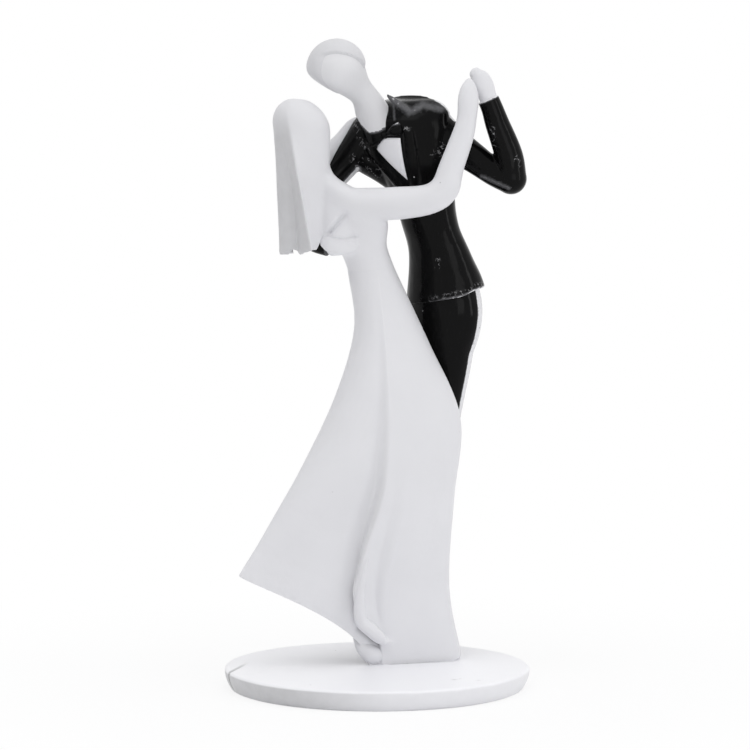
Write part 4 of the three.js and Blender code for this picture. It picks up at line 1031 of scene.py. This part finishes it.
def pressed_flat(rings):
    """The underside of the head pressed towards a plane: what lies beyond it keeps a tenth of its depth. The
    press comes in softly and eases off down the neck."""
    off = rings - ON_BASE - groom_head_at
    beyond = off @ UNDERSIDE_WAY - UNDERSIDE
    soft = np.logaddexp(0.0, beyond / UNDERSIDE_SOFTNESS) * UNDERSIDE_SOFTNESS
    soft = soft * smooth(11.0, 8.0, np.linalg.norm(off, axis=-1))
    return rings - UNDERSIDE_WAY * (0.9 * soft)[..., None]


groom_rings = bulb(groom_line, **GROOM_BULB, flare=NECK_FLARE, sides=96, rows=56)
groom_head = put_piece("groom_head_and_neck", pressed_flat(groom_rings))
x, y, z = points_of(groom_head).T
off_middle = x + 1.0
paint_line = np.minimum(np.where(off_middle < 0, 0.31, 0.14) * off_middle ** 2, 4.0)
paint_line = SUIT_TOP + np.maximum(paint_line, 2.4 * smooth(6.5, 8.5, y))
paint_black(groom_head, np.clip(0.5 + (z - paint_line) / 1.2, 0.0, 2.0), "groom_head")
groom_cap = hair_growth(
    groom_rings,
    groom_head_at,
    [BROW, TEMPLE],
    mix(groom_head_at, groom_neck_foot, 0.22),
    groom_bend - groom_head_at,
)
groom_hair_rings = bulb(groom_line, **GROOM_BULB, grow=groom_cap, sides=96, rows=56)
groom_hair = put_piece("groom_smooth_hair", pressed_flat(groom_hair_rings))
cast_white(groom_hair, "groom_hair", coat=HAIR_COAT_WITH_CROWN_SHADE)


# The coat is one casting under the paint: a nipped waist over a flared skirt with a tilted hem, square
# shoulders, flat lapels, a collar that stands up at his left, and both sleeves. Paint is missing along the
# hem, the cuffs and the shoulder, and is rubbed and cracked where the figures touch. Grey streaks on the
# collar, the shoulder top and under the left elbow are painted highlights.
SLEEVE = 3.8
CUFF = 2.2
HEM_TILT = 0.18
HEM_LIFT = 0.9
LAPEL_WIDTH = 3.0
LAPEL_RISE = 0.5
COLLAR_THICKNESS = 2.4
COLLAR_SUNK = -1.3
COLLAR_INNER = 2.0
COLLAR_TOP = 117.2
JACKET_STATIONS = [
    (14.3, 13.0, 75.0, 8.8, 7.1),
    (13.2, 12.1, 84.2, 7.0, 5.6),
    (11.1, 11.1, 90.6, 6.3, 5.2),
    (9.6, 10.5, 97, 6.9, 6.0),
    (8.0, 9.9, 103.2, 10.0, 6.6),
    (6.6, 9.4, 108.6, 10.9, 6.3),
    (6.0, 9.0, 112.2, 10.6, 5.8),
    (6.4, 8.9, 114.4, 9.8, 4.9),
    (6.8, 8.9, 116.2, 7.4, 3.4),
    (7.0, 8.9, 117.0, 4.6, 0.6),
]
ARMPIT = [(-1.6, 12.8, 104.4, 3.4), (1.2, 12.4, 102.8, 3.4), (3.9, 12.0, 101.0, 3.4), (6.5, 11.5, 98.5, 3.2)]
LEFT_ELBOW = (27.5, 2.8, 100.5, SLEEVE * 0.86)
RIGHT_ELBOW = (-14.6, 11.0, 95.6, SLEEVE * 0.87)
LEFT_UPPER_SLEEVE = [
    (11.4, 6.4, 111.5, SLEEVE * 1.08),
    (15.3, 4.9, 108.0, SLEEVE * 0.95),
    (20.2, 3.8, 104.5, SLEEVE * 0.81),
    (24.2, 3.2, 101.7, SLEEVE * 0.74),
    LEFT_ELBOW,
]
LEFT_FORE_SLEEVE = [
    LEFT_ELBOW,
    (26.95, 2.2, 105.4, SLEEVE * 0.77),
    (24.6, 1.4, 111.8, SLEEVE * 0.66),
    (23.6, 1.0, 114.7, CUFF * 1.03),
    (22.7, 0.8, 116.8, CUFF),
]
RIGHT_UPPER_SLEEVE = [
    (0.6, 12.8, 113.2, SLEEVE * 0.84),
    (-1.6, 13.0, 110.8, SLEEVE * 0.90),
    (-4.6, 13.2, 106.2, SLEEVE * 0.92),
    (-7.9, 12.9, 102.2, SLEEVE * 0.83),
    (-11.5, 12.1, 98.4, SLEEVE * 0.82),
    RIGHT_ELBOW,
]
RIGHT_FORE_SLEEVE = [
    RIGHT_ELBOW,
    (-15.0, 5.2, 90.8, SLEEVE * 0.78),
    (-13.0, 2.2, 87.8, CUFF * 1.0),
    (-9.6, 0.6, 86.6, CUFF * 0.95),
]
COLLAR_WING = [
    (2.2, 5.0, 117.5, 0.3),
    (3.3, 4.6, 116.6, 0.6, 0.8),
    (4.8, 3.9, 115.5, 0.7, 0.9),
    (6.2, 3.3, 114.4, 0.6, 0.8),
    (7.4, 3.0, 113.2, 0.4),
]
LAPEL_PATHS = {
    "left": [(2.6, 97.8, 0.35), (3.4, 102, 0.5), (3.9, 106, 0.55), (4.2, 110.2, 0.45)],
    "right": [(-0.6, 98.4, 0.35), (-3.3, 103, 0.5), (-5.8, 106.6, 0.55), (-7.4, 110.2, 0.45)],
}
# Stretches given across and by height, with a width and a strength of grey. The first is rubbed paint. The
# others, on the collar's ridge and front edge, the shoulder top and under the left elbow, are painted
# highlights.
RUBBED_AND_HIGHLIGHT_PLACES = [
    ((-6.6, 99.4), (-3.9, 102.4), 0.55, 0.72),
    ((2.6, 117.1), (6.6, 114.3), 0.85, 0.40),
    ((7.2, 114.3), (9.4, 115.6), 0.80, 0.34),
    ((9.4, 115.6), (13.2, 114.7), 0.80, 0.32),
    ((21.5, 101.0), (27.0, 98.6), 0.45, 0.30),
    ((3.4, 116.0), (3.6, 112.6), 0.28, 0.28),
]
CRAZED_PLACES = [
    ((12.6, 83.6), (12.5, 82.0), 0.4),
    ((13.4, 107.4), (12.6, 105.0), 0.7),
    ((10.4, 106.1), (11.2, 105.9), 0.5),
    ((5.0, 110.6), (6.4, 110.8), 0.4),
    ((-4.8, 112.2), (-3.2, 108.4), 0.6),
    ((-3.2, 108.6), (-2.0, 105.6), 0.6),
    ((-4.4, 104.2), (-2.8, 102.8), 1.1),
    ((-1.6, 103.4), (-0.2, 101.8), 1.1),
    ((28.4, 104.8), (28.9, 103.4), 0.5),
    ((23.4, 111.6), (24.0, 107.4), 0.4),
]
WORN_SHOULDER = [(12.6, 116.9), (16.0, 113.0)]
CUFF_WEAR = ((LEFT_FORE_SLEEVE, 0.7), (RIGHT_FORE_SLEEVE, 0.3))
collar_at = np.array((5.0, 5.6, 113.0))
collar_way = unit(np.array((0.74, 0.62, -0.15)))
jacket_line = spline(np.array(JACKET_STATIONS), np.linspace(0.0, 1.0, 400))


def hem_rise(x):
    """How far the hem lies above its middle: a straight slope, and an S-curve that lifts its right end."""
    return HEM_TILT * (x - 12.0) + HEM_LIFT * smooth(17.0, 21.5, x)


def jacket_rings(sides, steps):
    """Level ovals on a smooth line, sheared so that the hem rises towards his left."""
    rings = limb(JACKET_STATIONS, groom_across, sides, steps, level=True, flat=(True, False))
    low = smooth(86.0, 76.0, rings[..., 2] - BASE_HEIGHT)
    rings[..., 2] += hem_rise(rings[..., 0]) * low
    return rings


def on_jacket(across, height, out):
    """The point of the jacket's front at a distance across the chest and a height above the base, raised by
    out: the level oval at that height gives the depth."""
    row = np.stack([np.interp(height, jacket_line[:, 2], jacket_line[:, k]) for k in range(5)], axis=-1)
    depth = row[..., 4] * np.sqrt(np.maximum(1 - (across / row[..., 3]) ** 2, 0.0)) + out
    return row[..., :3] + across[..., None] * groom_across + depth[..., None] * groom_facing


def lapel_rings(rows):
    """A flat strip along places on the chest, each given by across, height and a share of the lapel's
    width."""
    across, height, share = np.array(rows).T
    spots = on_jacket(across, height, 0.0)
    rise = np.full(len(rows), LAPEL_RISE)
    return limb(np.column_stack([spots, LAPEL_WIDTH * share, rise]), groom_across)


def collar_rings(sides, rows):
    """Uprights on the neck's skin, from its foot to a top edge that is highest at his left front. The band
    stands out behind an upright plane and is sunk into the neck in front of it."""
    stem = bulb(groom_line, **GROOM_BULB, flare=NECK_FLARE, sides=sides, rows=200)[200:] - ON_BASE
    spine = stem.mean(axis=1, keepdims=True)
    top = COLLAR_TOP - 0.12 * np.hypot(stem[..., 0] - 2.0, stem[..., 1] - 5.5)
    first = np.argmax(stem[..., 2] < top, axis=0)
    last = len(stem) - 1
    share = np.linspace(0.0, 1.0, rows)[:, None]
    pick = np.clip(np.round(mix(last, first, share)).astype(int), 0, last)
    skin_points = stem[pick, np.arange(sides)[None]]
    out = unit(skin_points - spine[pick, 0])
    stands = smooth(-0.3, 0.3, (skin_points - collar_at) @ collar_way)[..., None]
    outer = skin_points + out * mix(COLLAR_SUNK, COLLAR_THICKNESS, stands)
    outer[..., 2] -= 1.7 * share ** 3 * stands[..., 0]
    inner = skin_points - out * COLLAR_INNER
    return np.concatenate([outer, inner[::-1]]) + ON_BASE


coat = put_piece(
    "groom_black_coat",
    jacket_rings(140, 16),
    collar_rings(120, 40),
    limb(COLLAR_WING, (0.5, -0.3, 0.8)),
    limb(ARMPIT, (0.0, 1.0, 0.0)),
    *(lapel_rings(rows) for rows in LAPEL_PATHS.values()),
    limb(LEFT_UPPER_SLEEVE, (0.0, 1.0, 0.0)),
    limb(LEFT_FORE_SLEEVE, (0.0, 1.0, 0.0), flat=(False, True)),
    limb(RIGHT_UPPER_SLEEVE, (0.0, 1.0, 0.0)),
    limb(RIGHT_FORE_SLEEVE, (0.9, 0.0, 0.3), flat=(False, True)),
)
cast_together(coat, grain=0.26, rounds=5)
coat_points = points_of(coat)
x, _, z = coat_points.T
over_hem = z - JACKET_STATIONS[0][2] - hem_rise(x)
hem_wear = smooth(9.0, 17.0, x)
bare_and_highlight = mix(0.48, 0.60, smooth(16.0, 20.0, x)) * smooth(0.7, 0.1, np.abs(over_hem)) * hem_wear
for fore_sleeve, wear in CUFF_WEAR:
    cuff = np.array(fore_sleeve[-1][:3])
    cuff_way = unit(cuff - np.array(fore_sleeve[-2][:3]))
    near = smooth(4.0, 3.0, np.linalg.norm(coat_points - cuff, axis=1))
    bare_and_highlight = np.maximum(bare_and_highlight, wear * smooth(-0.5, 0.0, (coat_points - cuff) @ cuff_way) * near)
backward = normals_of(coat)[:, 1]
front = smooth(-0.2, 0.2, -backward)
seen_places = coat_points[:, (0, 2)]
# Rubbed paint and painted highlights, laid on the front.
for start, end, width, strength in RUBBED_AND_HIGHLIGHT_PLACES:
    bare_and_highlight = np.maximum(bare_and_highlight, strength * bell(from_path(seen_places, start, end) / width) * front)
crazed = smooth(1.3, 0.5, np.abs(over_hem - 0.4)) * hem_wear * front
for start, end, width in CRAZED_PLACES:
    off_crack = from_path(seen_places, start, end)
    crazed = np.maximum(crazed, smooth(1.6 * width, 0.5 * width, off_crack) * front)
facing_side = smooth(-0.50, -0.30, backward) * smooth(0.10, -0.10, backward)
shoulder_wear = smooth(1.2, 0.5, from_path(seen_places, *WORN_SHOULDER)) * facing_side
bare_and_highlight = np.maximum(bare_and_highlight, 0.85 * shoulder_wear)
paint_black(
    coat,
    bare_and_highlight,
    "groom_jacket",
    "groom_collar",
    "groom_left_lapel",
    "groom_right_lapel",
    "groom_left_sleeve",
    "groom_right_sleeve",
    crazed=crazed,
)


# Shirt front: the white casting left bare in a wedge between the lapels. Corners are given across the chest
# and above the base.
SHIRT_CORNERS = np.array([(-4.5, 106.4), (-3.4, 107.9), (-1.6, 108.8), (2.4, 108.8), (1.6, 100.2)])
SHIRT_RIM = 0.05
SHIRT_SWELL = 0.22
SHIRT_ROOT = -0.8


def shirt_rings(rows, columns):
    """The cornered outline shrunk towards its middle in rings, laid on the chest: a low pillow that rises
    from the jacket's skin at its rim."""
    sides = len(SHIRT_CORNERS)
    turn = np.linspace(0.0, sides, columns, endpoint=False)
    corner = turn.astype(int)
    outline = mix(SHIRT_CORNERS[corner], SHIRT_CORNERS[(corner + 1) % sides], (turn - corner)[:, None])
    middle = SHIRT_CORNERS.mean(axis=0)
    size = np.linspace(1.0, 0.02, rows)[:, None, None]
    flat = middle + (outline - middle) * size
    swell = SHIRT_SWELL * smooth(1.0, 0.85, size[..., 0]) + SHIRT_RIM
    face = on_jacket(flat[..., 0], flat[..., 1], swell)
    back = on_jacket(flat[..., 0], flat[..., 1], SHIRT_ROOT)
    return np.concatenate([back[::-1], face]) + ON_BASE


shirt = put_piece("groom_shirt_wedge", shirt_rings(24, 120))
cast_white(shirt, "groom_shirt_front", coat=GLAZE)


# Bow tie: two flared wings and a knot, tilted with his neck. A row of its shape is the share of the way out,
# the share of the height and the half-depth. Grey spots on both wings are rubbed paint and painted
# highlights.
BOW_TIE_WIDTH = 7.4
BOW_TIE_HEIGHT = 2.6
BOW_WING = [(1.0, 1.0, 0.8), (0.6, 0.9, 1.0), (0.2, 0.45, 0.8)]
BOW_KNOT = (0.0, 0.6, 1.1)
bow_at = np.array((6.6, 9.4, 109.4)) - 1.3 * groom_across + 6.3 * groom_facing
bow_way = np.array((0.75, -0.56, 0.36))
left_wing = [(-out, tall, deep) for out, tall, deep in BOW_WING]
outs, talls, deeps = np.array([*left_wing, BOW_KNOT, *BOW_WING[::-1]]).T
bow_line = bow_at + bow_way * outs[:, None] * BOW_TIE_WIDTH / 2
bow_stations = np.column_stack([bow_line, talls * BOW_TIE_HEIGHT / 2, deeps])
bow_tie = put_piece("groom_black_bow_tie", limb(bow_stations, (0.0, 0.0, 1.0)))
seen_places = points_of(bow_tie)[:, (0, 2)]
# Painted highlights on both wings, drawn as rubbed grey paint.
off_left = from_path(seen_places, (3.0, 111.6), (4.6, 112.0))
off_right = from_path(seen_places, (6.0, 110.4), (7.4, 110.6))
paint_black(bow_tie, 0.55 * bell(np.minimum(off_left, off_right) / 0.35), "groom_bow_tie")


# The groom's hands are left white: the left one is a mitten laid against the bride's palm, and the right one
# lies flat on the small of her back.
HANDS = {
    "left": (
        [
            (23.2, 0.95, 115.4, 1.8, 1.5),
            (22.5, 0.8, 117.6, 1.9, 1.5),
            (21.8, 0.6, 119.5, 2.1, 1.5),
            (20.9, 0.4, 121.0, 2.0, 1.4),
            (20.1, 0.3, 122.0, 1.3, 1.1),
        ],
        (0.9, 0.3, 0.3),
    ),
    "right": (
        [
            (-10.6, -1.5, 87.9, 1.4, 0.9),
            (-9.4, -2.1, 87.3, 1.8, 0.8),
            (-7.8, -2.35, 87.0, 1.9, 0.75),
            (-6.0, -2.25, 87.1, 1.7, 0.7),
            (-4.4, -1.8, 87.4, 1.2, 0.6),
        ],
        (0.0, 0.15, 0.98),
    ),
}
for side, (rows, across) in HANDS.items():
    hand = put_piece(f"groom_{side}_white_hand", limb(rows, across))
    cast_white(hand, f"groom_{side}_hand")
